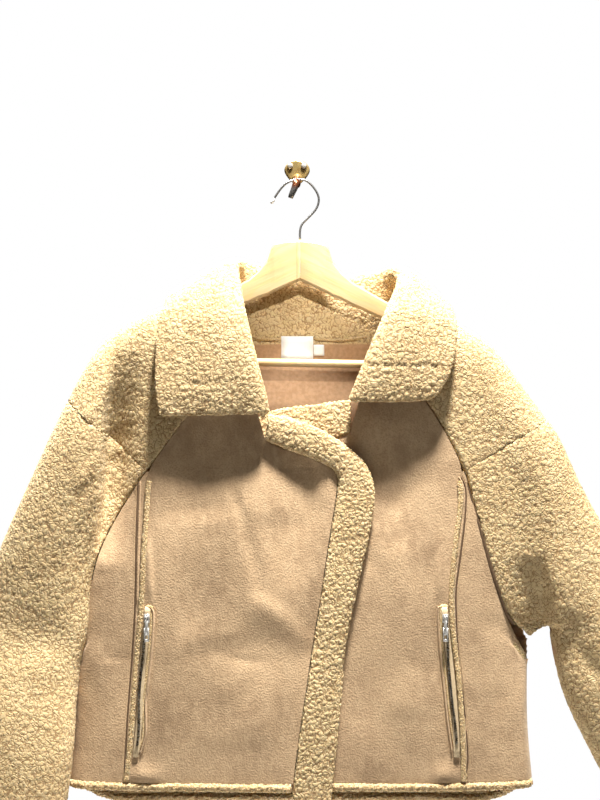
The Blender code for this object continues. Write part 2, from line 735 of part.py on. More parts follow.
hem_points = []
for point, normal in hem_line():
    level = np.array([normal[0], normal[1], 0.0])
    hem_points.append(point - unit(level) * 2.5 - np.array([0, 0, HEM_RADIUS + HEM_BELOW]))
hem_points[0][0] -= 2.0
hem_points[-1][0] += 2.0
tube("hem_trim", hem_points, [HEM_RADIUS] * len(hem_points), 6, pile)


def strip(name, sign, seam_column, heights, from_seam, width, lift, thickness, look, layer):
    """A raised strip on a front panel, beside its princess seam."""
    rings = []
    for z in heights:
        rows = [(row[0], row[seam_column]) for row in LEVELS]
        seam = float(np.interp(z, [row[0] for row in rows], [row[1] for row in rows]))
        near, far = seam + sign * from_seam, seam + sign * (from_seam + width)
        crown = (near * 0.75 + far * 0.25, near * 0.25 + far * 0.75)
        ring = [(near, lift), (near, lift + thickness * 0.6), (crown[0], lift + thickness)]
        ring += [(crown[1], lift + thickness), (far, lift + thickness * 0.6), (far, lift)]
        rings.append([body_at(x, z, layer) - np.array([0, height, 0]) for x, height in ring])
    return loft(name, rings, look)


trim_heights = [row[0] for row in reversed(LEVELS) if row[0] <= -355]
trim_heights[-1] += 1
zip_heights = [ZIP_TOP - (ZIP_TOP - ZIP_FOOT) * k / 6 for k in range(7)]
sides = (("right", 1, 2, "lap"), ("left", -1, 5, "under"))
for side, sign, column, layer in sides:
    trim_shape = (trim_heights, TRIM_FROM_SEAM, TRIM_WIDTH, TRIM_LIFT, TRIM_THICKNESS)
    strip(f"seam_trim_{side}", sign, column, *trim_shape, pile, layer)
    zip_shape = (zip_heights, ZIP_FROM_SEAM, ZIP_WIDTH, TRIM_LIFT, ZIP_THICKNESS)
    strip(f"zip_{side}", sign, column, *zip_shape, tape, layer)

# Zip sliders with a pull tab that swings on two cheeks
for side, sign, column, layer in sides:
    rows = [(row[0], row[column]) for row in LEVELS]
    seam = float(np.interp(SLIDER_LEVEL, [row[0] for row in rows], [row[1] for row in rows]))
    x = seam + sign * (ZIP_FROM_SEAM + ZIP_WIDTH / 2)
    corners = [(x + dx, SLIDER_LEVEL + dz) for dx in (-3, 3) for dz in (-5, 5)]
    panel_face = min(body_at(*corner, layer)[1] for corner in corners)
    y = panel_face - TRIM_LIFT - ZIP_THICKNESS - SLIDER_CLEAR
    x, z = x + PLACE[0], SLIDER_LEVEL + PLACE[2]
    xs = [x + across for across in SLIDER_ACROSS]
    ys = (y - CHEEK_OUT, y - SLIDER_THICKNESS, y)
    zs = [z + level for level in SLIDER_HEIGHTS]
    body_cells = {(i, 1, k) for i in range(5) for k in range(3)}
    cheeks = {(1, 0, 1), (3, 0, 1)}
    blocks(f"zip_slider_{side}", (xs, ys, zs), body_cells | cheeks, silver)
    axis_y, axis_z = y - SLIDER_THICKNESS - TAB_AXIS_OUT, z + TAB_AXIS_UP
    xs = [x + across for across in TAB_ACROSS]
    ys = (axis_y - TAB_THICKNESS / 2, axis_y + TAB_THICKNESS / 2)
    zs = [axis_z + level for level in TAB_LEVELS]
    hole = {(1, 0, 1), (2, 0, 1), (3, 0, 1)}
    neck = {(1, 0, 3), (2, 0, 3), (3, 0, 3), (2, 0, 4)}
    tab = {(i, 0, k) for i in range(5) for k in range(3)} - hole | neck
    blocks(f"zip_pull_{side}", (xs, ys, zs), tab, silver)

# Neck labels, blank, sewn in under the neck seam


def neck_label(name, left, right, top, foot):
    """A thin label on the inner face of the back panel."""
    points = []
    for lift in (PILE_WALL + 0.35, PILE_WALL + 1.05):
        for x, z in ((left, top), (right, top), (right, foot), (left, foot)):
            points.append(body_at(x, min(z, NECK_LEVEL), "back") * (1, 1, 0) + np.array([0, -lift, z]))
    faces = [(0, 1, 2, 3), (7, 6, 5, 4), (0, 4, 5, 1), (1, 5, 6, 2), (2, 6, 7, 3), (3, 7, 4, 0)]
    add_object(name, points, faces, white)


neck_label("label_main", -22, 15.5, -188, -217)
neck_label("label_size", 16, 28.5, -198, -211)

# Hanger: two arms glued in the middle, a trouser bar and a wire hook


def arm_section(distance, sign, top, foot):
    half, corner = HANGER_THICKNESS / 2, 2.6
    x = sign * distance
    slope = -HANGER_TILT * x + ARM_RISE[sign] * smooth(distance, *ARM_RISE_SPAN[sign])
    corner = min(corner, (top - foot) * 0.3)
    ring = [
        (-half + corner, top), (half - corner, top), (half, top - corner), (half, foot + corner),
        (half - corner, foot), (-half + corner, foot), (-half, foot + corner), (-half, top - corner),
    ]
    return [(x, HANGER_Y + y, z + slope) for y, z in ring]


for side, sign in (("right", -1), ("left", 1)):
    rings = [arm_section(distance, sign, top, foot) for distance, top, foot in ARM_SECTIONS]
    loft(f"hanger_arm_{side}", rings, wood)
bar_ends = [
    (x, HANGER_Y, BAR_Z - HANGER_TILT * x) for x in (-BAR_HALF_LENGTH, BAR_HALF_LENGTH)
]
tube("hanger_bar", bar_ends, [BAR_RADIUS] * 2, 14, wood)
wire = curve_through([(x, HANGER_Y, z) for x, z in WIRE_ROUTE], 36)
tube("hanger_hook", wire, [WIRE_RADIUS] * len(wire), 8, steel)

# Wall hook: a rounded shield plate and a curled prong, one casting, and two screws


def shield(scale, y):
    ring = []
    for k in range(24):
        angle = 2 * math.pi * k / 24
        x, z = 15.5 * math.sin(angle), 13.0 * math.cos(angle)
        narrow = 1.0 if z > 0 else 1.0 - 0.5 * (-z / 13.0) ** 1.3
        ring.append((x * narrow * scale, y, (z if z > 0 else z * 1.3) * scale))
    return ring


shields = [shield(1, 0), shield(1, -2.6), shield(0.9, -PLATE_THICKNESS)]
plate = loft("wall_hook", shields, brass, (0, 0, 0))
route = curve_through(PRONG_ROUTE, 20)
prong = tube("prong_form", [p[:3] for p in route], [p[3] for p in route], 12, brass, (0, 0, 0))
prong.hide_render = True
prong.display_type = "WIRE"
joined = plate.modifiers.new("prong", "BOOLEAN")
joined.operation = "UNION"
joined.object = prong
turns = [2 * math.pi * k / 12 for k in range(12)]
for side, x in (("right", -SCREW_PLACE[0]), ("left", SCREW_PLACE[0])):
    rings = []
    for y, radius in SCREW_SECTION:
        z = SCREW_PLACE[1]
        rings.append([(x + radius * math.cos(a), y, z + radius * math.sin(a)) for a in turns])
    loft(f"wall_screw_{side}", rings, silver, (0, 0, 0))
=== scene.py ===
"""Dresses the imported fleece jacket, its wooden hanger and its wall hook.

Metres, +Z up, the jacket's front faces -Y. Right and left are the wearer's, so "right" is at -X.
Tables of lines give their points as (x, z) in mm.
"""

import math

import bmesh
import bpy
import numpy as np
from mathutils import Matrix, Vector
from mathutils.bvhtree import BVHTree


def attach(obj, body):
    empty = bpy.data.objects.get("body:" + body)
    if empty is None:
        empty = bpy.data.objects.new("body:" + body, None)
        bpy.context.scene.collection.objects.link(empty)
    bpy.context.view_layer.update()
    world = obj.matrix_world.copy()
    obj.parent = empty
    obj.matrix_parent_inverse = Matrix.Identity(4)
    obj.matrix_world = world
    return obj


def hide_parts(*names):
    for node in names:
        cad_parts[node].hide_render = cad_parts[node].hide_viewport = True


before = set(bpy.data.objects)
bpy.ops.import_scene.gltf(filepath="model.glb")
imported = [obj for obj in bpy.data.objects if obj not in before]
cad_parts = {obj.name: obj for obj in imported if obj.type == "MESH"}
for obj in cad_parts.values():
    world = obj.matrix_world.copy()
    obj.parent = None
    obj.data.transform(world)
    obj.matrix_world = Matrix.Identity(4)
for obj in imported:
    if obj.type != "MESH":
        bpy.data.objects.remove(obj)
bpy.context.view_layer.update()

# Studio: a pale floor well below the jacket in a white surround. One lamp hangs high in front, with
# a weak fill, a narrow one aimed into the neck and one behind. The camera is level with the chest.

FLOOR_LEVEL, FLOOR_SIDE, FLOOR_BACK = -1.6, 2.5, 1.2
# The surround's strength and colour, as the camera sees it and as it lights the jacket
SEEN_STRENGTH, SEEN_COLOUR = 1.0, (1.0, 1.0, 1.0)
LIT_STRENGTH, LIT_COLOUR = 0.02, (1.0, 0.78, 0.52)
# The camera's sensor in mm, and how many metres high its picture is at a distance in metres
SENSOR, PICTURE_HEIGHT, PICTURE_DISTANCE = 36.0, 0.92, 1.6
# The sockets of a mix node that take its share and two colours, and the one that gives the colour
MIX_SHARE, MIX_FIRST, MIX_SECOND, MIX_COLOUR = 0, 6, 7, 2


def add(tree, kind, inputs, **settings):
    """A node with its settings and its inputs, each a value or another node's output."""
    made = tree.nodes.new(kind)
    for name, value in settings.items():
        setattr(made, name, value)
    for name, value in inputs.items():
        if isinstance(value, bpy.types.NodeSocket):
            tree.links.new(value, made.inputs[name])
        else:
            made.inputs[name].default_value = value
    return made


def tint(tree, share, first, second):
    """Two colours mixed, each a value or another node's output."""
    first = first if isinstance(first, bpy.types.NodeSocket) else (*first, 1.0)
    second = second if isinstance(second, bpy.types.NodeSocket) else (*second, 1.0)
    inputs = {MIX_SHARE: share, MIX_FIRST: first, MIX_SECOND: second}
    return add(tree, "ShaderNodeMix", inputs, data_type="RGBA").outputs[MIX_COLOUR]


def finish_material(name, roughness, metallic=0.0, sheen=0.0):
    made = bpy.data.materials.new(name)
    made.use_nodes = True
    shader = made.node_tree.nodes["Principled BSDF"]
    shader.inputs["Roughness"].default_value = roughness
    shader.inputs["Metallic"].default_value = metallic
    shader.inputs["Sheen Weight"].default_value = sheen
    return made, made.node_tree, shader


def link_piece(name, mesh, look):
    made = bpy.data.objects.new(name, mesh)
    mesh.materials.clear()
    mesh.materials.append(look)
    bpy.context.scene.collection.objects.link(made)
    return made


floor_mesh = bpy.data.meshes.new("floor")
floor_corners = [
    (-FLOOR_SIDE, -FLOOR_SIDE, FLOOR_LEVEL),
    (FLOOR_SIDE, -FLOOR_SIDE, FLOOR_LEVEL),
    (FLOOR_SIDE, FLOOR_BACK, FLOOR_LEVEL),
    (-FLOOR_SIDE, FLOOR_BACK, FLOOR_LEVEL),
]
floor_mesh.from_pydata(floor_corners, [], [(0, 1, 2, 3)])
floor_paint, tree, shader = finish_material("floor_paint", 0.9)
shader.inputs["Base Color"].default_value = (0.86, 0.86, 0.85, 1)
floor = link_piece("floor", floor_mesh, floor_paint)

surround = bpy.data.worlds.new("white_surround")
surround.use_nodes = True
tree = surround.node_tree
backdrop = tree.nodes["Background"]
seen = add(tree, "ShaderNodeLightPath", {}).outputs["Is Camera Ray"]
strength = add(tree, "ShaderNodeMapRange", {"Value": seen, "To Min": LIT_STRENGTH, "To Max": SEEN_STRENGTH})
tree.links.new(tint(tree, seen, LIT_COLOUR, SEEN_COLOUR), backdrop.inputs["Color"])
tree.links.new(strength.outputs["Result"], backdrop.inputs["Strength"])
bpy.context.scene.world = surround
bpy.context.scene.view_settings.view_transform = "Standard"


def lamp(name, place, aim, size, power, spread, colour=(1, 1, 1)):
    """A round lamp aimed at a place, with its size in metres, power in watts and spread in degrees."""
    light = bpy.data.lights.new(name, "AREA")
    light.shape = "DISK"
    light.size = size
    light.energy = power
    light.color = colour
    light.spread = math.radians(spread)
    made = bpy.data.objects.new(name, light)
    made.location = place
    made.rotation_euler = (Vector(aim) - Vector(place)).to_track_quat("-Z", "Y").to_euler()
    bpy.context.scene.collection.objects.link(made)


lamp("overhead_lamp", (0.28, -0.62, 2.1), (0, -0.07, -0.4), 0.34, 41, 62, (1.0, 0.98, 0.93))
lamp("front_lamp", (0.5, -1.9, 1.3), (0, -0.05, -0.4), 1.2, 1.2, 90)
lamp("neck_lamp", (0.06, -0.95, 0.5), (0.014, 0.0, -0.19), 0.04, 0.075, 12, (1.0, 0.97, 0.9))
lamp("back_lamp", (-0.8, 1.3, 2.0), (0, 0, -0.4), 1.0, 22, 60, (1.0, 0.98, 0.94))

camera_data = bpy.data.cameras.new("camera")
camera_data.sensor_width = SENSOR
camera_data.lens = SENSOR * PICTURE_DISTANCE / PICTURE_HEIGHT
camera = bpy.data.objects.new("camera", camera_data)
camera.location = (0.0035, -1.66, -0.273)
camera.rotation_euler = (math.radians(90), 0, 0)
bpy.context.scene.collection.objects.link(camera)
bpy.context.scene.camera = camera

# Fronts and side panels: bonded cloth, brushed like suede on the outside with curly pile inside.
# Each is cut flat and sewn to its neighbours, and its rim shows the pile between the seams.

# The sides of a wall of cloth, and the angle between its faces at a rim
OUTSIDE, INSIDE, RIM = 0, 1, 2
RIM_ANGLE = math.radians(48)
# Corners of a solid this close are one, and its triangles are paired within these angles
MERGE_DISTANCE = 2e-5
PAIR_FACE_ANGLE, PAIR_SHAPE_ANGLE = math.radians(40), math.radians(150)
# The share of its depth that a crease has at its ends, and the mm in which it would gain all of it
CREASE_END, CREASE_TAPER = 0.15, 22.0
# The depth of the middle of the arms, and how far from it a fold has its whole depth
ARM_MIDDLE, FOLD_SPREAD = -0.045, 0.018
# The half of a piece that a table of folds is pressed into
FRONT, BACK = 1, -1
# The pattern of the curls in waves a metre: the noise that bends them, with how far it does, the
# curls, and the patches where they run together
BEND_WAVES, BEND_REACH, CURL_WAVES, JOIN_WAVES = 150.0, 0.009, 205.0, 230.0


def maths(tree, operation, first, second=0.0):
    return add(tree, "ShaderNodeMath", {0: first, 1: second}, operation=operation).outputs[0]


def ramp(tree, value, low, high, start=0.0, end=1.0):
    """The value's place between low and high, eased, from start to end."""
    inputs = {"Value": value, "From Min": low, "From Max": high, "To Min": start, "To Max": end}
    return add(tree, "ShaderNodeMapRange", inputs, interpolation_type="SMOOTHSTEP").outputs["Result"]


def vector(tree, operation, first, second):
    """Vector maths on values or other nodes' outputs. The second one is a number for SCALE."""
    other = "Scale" if operation == "SCALE" else 1
    return add(tree, "ShaderNodeVectorMath", {0: first, other: second}, operation=operation).outputs[0]


def noise(tree, place, scale, detail=2.0, stretch=None):
    """Noise from 0 to 1 at so many waves a metre, drawn out where stretch is below 1."""
    if stretch:
        place = vector(tree, "MULTIPLY", place, stretch)
    inputs = {"Vector": place, "Scale": scale, "Detail": detail}
    return add(tree, "ShaderNodeTexNoise", inputs).outputs[0]


def paint(tree, shader, colour):
    tree.links.new(colour, shader.inputs["Base Color"])


def relief(tree, shader, height, depth):
    """Bumps the shader's surface by a height from 0 to 1, so many metres deep."""
    made = add(tree, "ShaderNodeBump", {"Height": height, "Distance": depth, "Strength": 1.0})
    tree.links.new(made.outputs["Normal"], shader.inputs["Normal"])


def object_place(tree):
    return add(tree, "ShaderNodeTexCoord", {}).outputs["Object"]


def copied_solid(node):
    """The node's mesh merged, with its triangles paired and its rims creased."""
    shape = bmesh.new()
    shape.from_mesh(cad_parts[node].data)
    bmesh.ops.remove_doubles(shape, verts=shape.verts, dist=MERGE_DISTANCE)
    bmesh.ops.join_triangles(
        shape, faces=shape.faces, angle_face_threshold=PAIR_FACE_ANGLE, angle_shape_threshold=PAIR_SHAPE_ANGLE
    )
    crease = shape.edges.layers.float.new("crease_edge")
    for edge in shape.edges:
        if edge.is_manifold and edge.calc_face_angle() > RIM_ANGLE:
            edge[crease] = 1.0
    mesh = bpy.data.meshes.new(node)
    shape.to_mesh(mesh)
    shape.free()
    loaded_normals = mesh.attributes.get("custom_normal")
    if loaded_normals:
        mesh.attributes.remove(loaded_normals)
    return mesh


def cloth_sides(mesh):
    """For each face, the side of the wall that it is on. The outside is the largest region between
    creases, the inside the next one, and the rims are the rest."""
    shape = bmesh.new()
    shape.from_mesh(mesh)
    shape.faces.ensure_lookup_table()
    crease = shape.edges.layers.float["crease_edge"]
    region = [-1] * len(shape.faces)
    areas = []
    for seed in shape.faces:
        if region[seed.index] >= 0:
            continue
        region[seed.index] = len(areas)
        reached, area = [seed], 0.0
        while reached:
            face = reached.pop()
            area += face.calc_area()
            for edge in face.edges:
                if edge[crease] > 0.5:
                    continue
                for beside in edge.link_faces:
                    if region[beside.index] < 0:
                        region[beside.index] = len(areas)
                        reached.append(beside)
        areas.append(area)
    shape.free()
    order = sorted(range(len(areas)), key=lambda k: -areas[k])
    side = {k: min(rank, RIM) for rank, k in enumerate(order)}
    return [side[k] for k in region]


def made_real(thing):
    """The object's mesh with its modifiers applied."""
    bpy.context.view_layer.update()
    graph = bpy.context.evaluated_depsgraph_get()
    mesh = bpy.data.meshes.new_from_object(thing.evaluated_get(graph))
    thing.modifiers.clear()
    thing.data = mesh
    mesh.shade_smooth()
    return thing


def rounded(thing, levels):
    made = thing.modifiers.new("rounding", "SUBSURF")
    made.levels = made.render_levels = levels


def points_of(mesh):
    places = np.zeros(len(mesh.vertices) * 3)
    mesh.vertices.foreach_get("co", places)
    return places.reshape(-1, 3)


def line_distance(places, line):
    """Distance in mm from each place to a line of (x, z) points in mm, which is above zero on the
    viewer's right of a line that runs down, and above a line that runs to the right. Also the
    distance from the nearer end of the line to the spot on it that lies beside the place."""
    flat = places[:, (0, 2)] * 1000
    line = np.asarray(line, float)
    nearest = np.full(len(flat), np.inf)
    signed = np.zeros(len(flat))
    reached = np.zeros(len(flat))
    passed = 0.0
    for start, end in zip(line, line[1:]):
        along = end - start
        length = np.linalg.norm(along)
        off = flat - start
        share = np.clip((off @ along) / length**2, 0, 1)
        away = np.linalg.norm(off - share[:, None] * along, axis=1)
        closer = away < nearest
        nearest[closer] = away[closer]
        beside = np.where(off[:, 1] * along[0] - off[:, 0] * along[1] > 0, 1, -1)
        signed[closer] = (away * beside)[closer]
        reached[closer] = (passed + share * length)[closer]
        passed += length
    return signed, np.minimum(reached, passed - reached)


def pressed_back(places, table):
    """How far back in metres each place is pressed by a table of lines, half widths and depths in mm.
    A crease with one depth dies out towards its ends."""
    total = np.zeros(len(places))
    for line, before, after, depth in table:
        away, from_end = line_distance(places, line)
        width = np.where(away > 0, after, before)
        if isinstance(depth, list):
            levels, depths = zip(*depth)
            depth = np.interp(-places[:, 2] * 1000, levels, depths)
        else:
            depth = depth * np.clip(CREASE_END + from_end / CREASE_TAPER, 0, 1)
        total += depth / 1000 * np.exp(-((away / width) ** 2))
    return total


# Creases and soft swells in the hanging cloth: a line of (x, z), the half widths before and after it,
# and the depth, all in mm. A swell has a depth below 0. A list gives the depth at levels under the hook.
CREASES = [
    ([(-70, -372), (-58, -425), (-44, -474), (-38, -500)], 7, 3, 2.0),
    ([(-60, -392), (-50, -440), (-38, -482)], 3, 6, 1.4),
    ([(-110, -396), (-100, -470), (-88, -560)], 36, 30, -3.0),
    ([(-34, -400), (-20, -450), (-8, -490)], 16, 24, 1.0),
    ([(-58, -496), (-34, -506), (-8, -526), (18, -556)], 26, 6, -2.4),
    ([(-84, -563), (-58, -569), (-34, -570)], 8, 2.5, 0.9),
    ([(-28, -578), (-12, -590)], 5, 3, 0.7),
    ([(-140, -540), (-110, -575), (-60, -612)], 30, 40, -2.2),
    ([(-118, -658), (-60, -645), (-20, -652)], 18, 24, -1.2),
    ([(-100, -676), (-50, -672)], 4, 3, 0.5),
    (
        [(-64, -278), (-34, -296), (-4, -320), (12, -350), (16, -400), (8, -450), (-2, -500)],
        44,
        13,
        [(275, 0), (305, 3), (350, 9), (415, 8), (470, 3), (520, 0)],
    ),
    ([(-150, -300), (-110, -330), (-80, -345)], 30, 42, 3.0),
    ([(52, -330), (90, -372), (128, -400)], 30, 40, 3.0),
    ([(60, -425), (80, -455), (98, -470)], 10, 12, 1.2),
    ([(112, -430), (126, -510), (126, -640)], 24, 24, -2.0),
    ([(60, -620), (100, -650), (140, -690)], 18, 24, 0.9),
    ([(-170, -430), (-168, -470), (-166, -506)], 6, 3, -2.4),
    ([(164, -446), (162, -475), (162, -504)], 3, 6, -2.2),
    ([(-212, -474), (-230, -474), (-240, -471)], 5, 3, 1.1),
    ([(-228, -682), (-252, -677)], 5, 3, 1.1),
    ([(-205, -600), (-236, -610)], 24, 24, -0.8),
    ([(205, -520), (240, -545)], 12, 12, 1.0),
    ([(205, -622), (250, -612)], 14, 10, 0.9),
    ([(-198, -703), (-176, -704), (-150, -706)], 8, 10, -4.0),
    ([(150, -706), (168, -704), (190, -703)], 8, 10, -4.0),
]

# Folds of the hanging sleeves and yokes, in the same form as the creases
FOLDS = [
    (
        [(-207, -200), (-210, -250), (-216, -291), (-219, -329), (-222, -386), (-228, -444)],
        3.0,
        31,
        [(198, 0), (216, 3), (240, 9), (275, 18), (315, 27), (345, 29), (385, 24), (425, 14), (462, 0)],
    ),
    ([(272, -440), (282, -500), (285, -620)], 30, 8, [(450, 0), (500, 13), (545, 17), (590, 11), (630, 0)]),
    ([(296, -420), (306, -500), (312, -560)], 14, 18, [(430, 0), (480, -4), (520, -4), (560, 0)]),
    ([(322, -560), (352, -600)], 10, 12, 2.5),
    ([(345, -640), (380, -655)], 12, 14, 2),
    ([(-272, -640), (-320, -655)], 18, 20, 1.0),
    ([(-290, -572), (-238, -572)], 26, 20, [(500, -4.0)]),
]


def fold(mesh, table, half):
    """Presses a table of folds into the front half of the mesh, or into its back half."""
    places = points_of(mesh)
    share = np.clip(half * (ARM_MIDDLE - places[:, 1]) / FOLD_SPREAD, 0, 1)
    places[:, 1] += half * pressed_back(places, table) * share
    mesh.vertices.foreach_set("co", places.ravel())


suede, tree, shader = finish_material("suede_look_face", 0.88, sheen=0.25)
shader.inputs["Sheen Roughness"].default_value = 0.55
shader.inputs["Sheen Tint"].default_value = (1.0, 0.9, 0.76, 1)
place = object_place(tree)
mottle = noise(tree, place, 15, 5)
brushed = noise(tree, place, 110, 4, (1.0, 1.0, 0.6))
nap = noise(tree, place, 520, 4)
base = tint(tree, ramp(tree, mottle, 0.3, 0.7), (0.325, 0.21, 0.113), (0.555, 0.378, 0.217))
base = tint(tree, ramp(tree, brushed, 0.35, 0.7, 0.0, 0.55), base, (0.58, 0.405, 0.24))
base = tint(tree, ramp(tree, nap, 0.4, 0.7, 0.0, 0.5), base, (0.31, 0.19, 0.1))
paint(tree, shader, base)
height = maths(tree, "ADD", maths(tree, "MULTIPLY", nap, 0.75), maths(tree, "MULTIPLY", brushed, 0.35))
relief(tree, shader, height, 0.0009)


def curl_height(tree, place):
    """Height of curly pile, 0 in the crevices and 1 on the curls, the same in a shader and on a mesh."""
    inputs = {"Vector": place, "Scale": BEND_WAVES, "Detail": 2.0}
    bend = add(tree, "ShaderNodeTexNoise", inputs).outputs["Color"]
    bend = vector(tree, "SCALE", vector(tree, "SUBTRACT", bend, (0.5, 0.5, 0.5)), BEND_REACH)
    inputs = {"Vector": vector(tree, "ADD", place, bend), "Scale": CURL_WAVES}
    cells = add(tree, "ShaderNodeTexVoronoi", inputs, feature="DISTANCE_TO_EDGE")
    edges = ramp(tree, cells.outputs["Distance"], 0.0, 0.3)
    joins = ramp(tree, noise(tree, place, JOIN_WAVES, 1.0), 0.54, 0.7, 0.0, 0.6)
    return maths(tree, "MAXIMUM", edges, joins)


def fleece_look(name, low, high):
    """Curly pile where the cloth is marked as piled, and its smooth wrong side elsewhere."""
    made, tree, shader = finish_material(name, 0.95, sheen=0.05)
    shader.inputs["Sheen Roughness"].default_value = 0.6
    shader.inputs["Sheen Tint"].default_value = (1.0, 0.9, 0.7, 1)
    shader.inputs["Subsurface Weight"].default_value = 0.3
    shader.inputs["Subsurface Radius"].default_value = (1.0, 0.7, 0.4)
    shader.inputs["Subsurface Scale"].default_value = 0.004
    place = add(tree, "ShaderNodeAttribute", {}, attribute_name="cloth_place").outputs["Vector"]
    piled = add(tree, "ShaderNodeAttribute", {}, attribute_name="piled").outputs["Fac"]
    curls = curl_height(tree, place)
    fibre = noise(tree, place, 1400, 2)
    patch = ramp(tree, noise(tree, place, 30, 3), 0.3, 0.7)
    tips = tint(tree, patch, low, high)
    # The crevices between the curls are painted darker than the tips. This is painted shade in the crevices,
    # on top of the shade that the relief casts.
    pile_colour = tint(tree, ramp(tree, curls, 0.0, 0.26), (0.31, 0.19, 0.085), tips)
    brushed = ramp(tree, noise(tree, place, 260, 3), 0.3, 0.7)
    wrong_side = tint(tree, brushed, (0.37, 0.222, 0.12), (0.46, 0.285, 0.163))
    paint(tree, shader, tint(tree, piled, wrong_side, pile_colour))
    height = maths(tree, "ADD", maths(tree, "MULTIPLY", curls, piled), maths(tree, "MULTIPLY", fibre, 0.2))
    relief(tree, shader, height, 0.0004)
    return made


fleece = fleece_look("curly_fleece", (0.54, 0.393, 0.204), (0.625, 0.472, 0.258))
edge_fleece = fleece_look("trimmed_fleece", (0.54, 0.39, 0.2), (0.64, 0.475, 0.265))


def mark_piled(mesh, places):
    """Notes on the mesh the places that its pile's pattern is read at, and full pile all over it."""
    mesh.attributes.new("cloth_place", "FLOAT_VECTOR", "POINT").data.foreach_set("vector", places.ravel())
    mesh.attributes.new("piled", "FLOAT", "POINT").data.foreach_set("value", np.ones(len(places)))


def suede_panel(node, name):
    """A panel of bonded cloth: the face and the fleece back are the two sides of one wall."""
    mesh = copied_solid(node)
    sides = cloth_sides(mesh)
    piece = link_piece(name, mesh, suede)
    mesh.materials.append(fleece)
    for face, side in zip(mesh.polygons, sides):
        face.material_index = 0 if side == OUTSIDE else 1
    rounded(piece, 3)
    made_real(piece)
    mesh = piece.data
    places = points_of(mesh)
    places[:, 1] += pressed_back(places, CREASES)
    mesh.vertices.foreach_set("co", places.ravel())
    fold(mesh, FOLDS, FRONT)
    mesh.set_sharp_from_angle(angle=RIM_ANGLE)
    mark_piled(mesh, places)
    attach(piece, "jacket")
    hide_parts(node)
    return piece


front_right = suede_panel("front_panel_right", "front_right_cloth")
front_left = suede_panel("front_panel_left", "front_left_cloth")
side_right = suede_panel("side_panel_right", "side_right_cloth")
side_left = suede_panel("side_panel_left", "side_left_cloth")

# Back, yokes, sleeves and collar: the same bonded cloth with the curly pile outside and the smooth
# face inside. Cut, sewn in raglan seams, and left with a thick soft edge at the cuffs.

VOXEL = 0.0024
# The sides of a wall that carry pile: the outside and the rims, or all of it
PILE_OUTSIDE, ALL_ROUND = (OUTSIDE, RIM), (OUTSIDE, INSIDE, RIM)
# How much pile stands on the outside, the inside and the rims, where it closes the seams
PILE_AMOUNT = {OUTSIDE: 1.0, INSIDE: 1.0, RIM: 1.6}
# How many rows of the mesh the pile hangs over past a rim, and the share that each row passes on
PILE_OVERHANG, OVERHANG_SHARE = 2, 0.85
# Waves a metre of the tufts, and in metres how far they swell and how deep the pile is set
TUFT_WAVES, TUFT_SWELL, PILE_SINK = 75.0, 0.0005, 0.0005
# Words in the names of the nodes that take the folds of the front, and those of the back
FRONT_FOLDED, BACK_FOLDED = ("sleeve", "shoulder", "seam_trim"), ("sleeve", "back_panel")
# Soft folds on the back panel and on the backs of the sleeves, in the same form as the creases
BACK_FOLDS = [
    ([(-150, -300), (-138, -420), (-120, -560)], 26, 30, 5.0),
    ([(-60, -290), (-48, -400), (-52, -520)], 30, 26, 3.5),
    ([(148, -310), (132, -430), (120, -540)], 30, 26, 5.0),
    ([(70, -420), (58, -520), (66, -640)], 26, 30, 4.0),
    ([(-40, -560), (-60, -640), (-52, -700)], 24, 28, 3.5),
    ([(-160, -600), (-100, -622), (-20, -618)], 12, 18, 2.6),
    ([(30, -470), (110, -492), (190, -470)], 12, 16, 2.4),
    ([(-190, -478), (-120, -500), (-70, -494)], 10, 14, 1.8),
    ([(250, -450), (300, -470), (345, -462)], 12, 14, 3.4),
    ([(262, -500), (310, -522), (360, -520)], 12, 14, 3.0),
    ([(-250, -450), (-300, -470), (-345, -466)], 12, 14, 3.4),
    ([(-262, -560), (-310, -575), (-370, -570)], 14, 14, 2.6),
]


def spread_rims(mesh, sides, reach):
    """Moves the rims out along the cloth, so that neighbours meet in their seam."""
    outwards = np.zeros((len(mesh.vertices), 3))
    for face, side in zip(mesh.polygons, sides):
        if side == RIM:
            outwards[list(face.vertices)] += face.normal
    lengths = np.linalg.norm(outwards, axis=1, keepdims=True)
    places = points_of(mesh) + outwards / np.maximum(lengths, 1e-9) * reach
    mesh.vertices.foreach_set("co", places.ravel())


def fleece_grid(mesh, sides, name, voxel, evening, piled_sides):
    """An even fine mesh over the wall, with its pile marked where the cloth's pile side is."""
    tree = BVHTree.FromPolygons([v.co for v in mesh.vertices], [tuple(p.vertices) for p in mesh.polygons])
    piece = link_piece(name, mesh, fleece)
    rounded(piece, 2)
    made_real(piece)
    grid = piece.modifiers.new("even_grid", "REMESH")
    grid.mode = "VOXEL"
    grid.voxel_size = voxel
    even = piece.modifiers.new("evening", "SMOOTH")
    even.iterations = evening
    even.factor = 0.5
    made_real(piece)
    mesh = piece.data
    amounts = [PILE_AMOUNT[side] if side in piled_sides else 0.0 for side in sides]
    piled = np.array([amounts[tree.find_nearest(v.co)[2]] for v in mesh.vertices])
    pairs = np.array([edge.vertices for edge in mesh.edges])
    for _ in range(PILE_OVERHANG):
        grown = piled.copy()
        for near, far in ((0, 1), (1, 0)):
            np.maximum.at(grown, pairs[:, near], piled[pairs[:, far]] * OVERHANG_SHARE)
        piled = grown
    mesh.attributes.new("piled", "FLOAT", "POINT").data.foreach_set("value", piled)
    return piece


def shape_tree(name, inputs, output):
    """A Geometry Nodes tree from its inputs to one output, and the sockets that the inputs come by."""
    tree = bpy.data.node_groups.new(name, "GeometryNodeTree")
    for socket, kind in inputs.items():
        tree.interface.new_socket(socket, in_out="INPUT", socket_type="NodeSocket" + kind)
    tree.interface.new_socket(output, in_out="OUTPUT", socket_type="NodeSocketGeometry")
    return tree, tree.nodes.new("NodeGroupInput").outputs


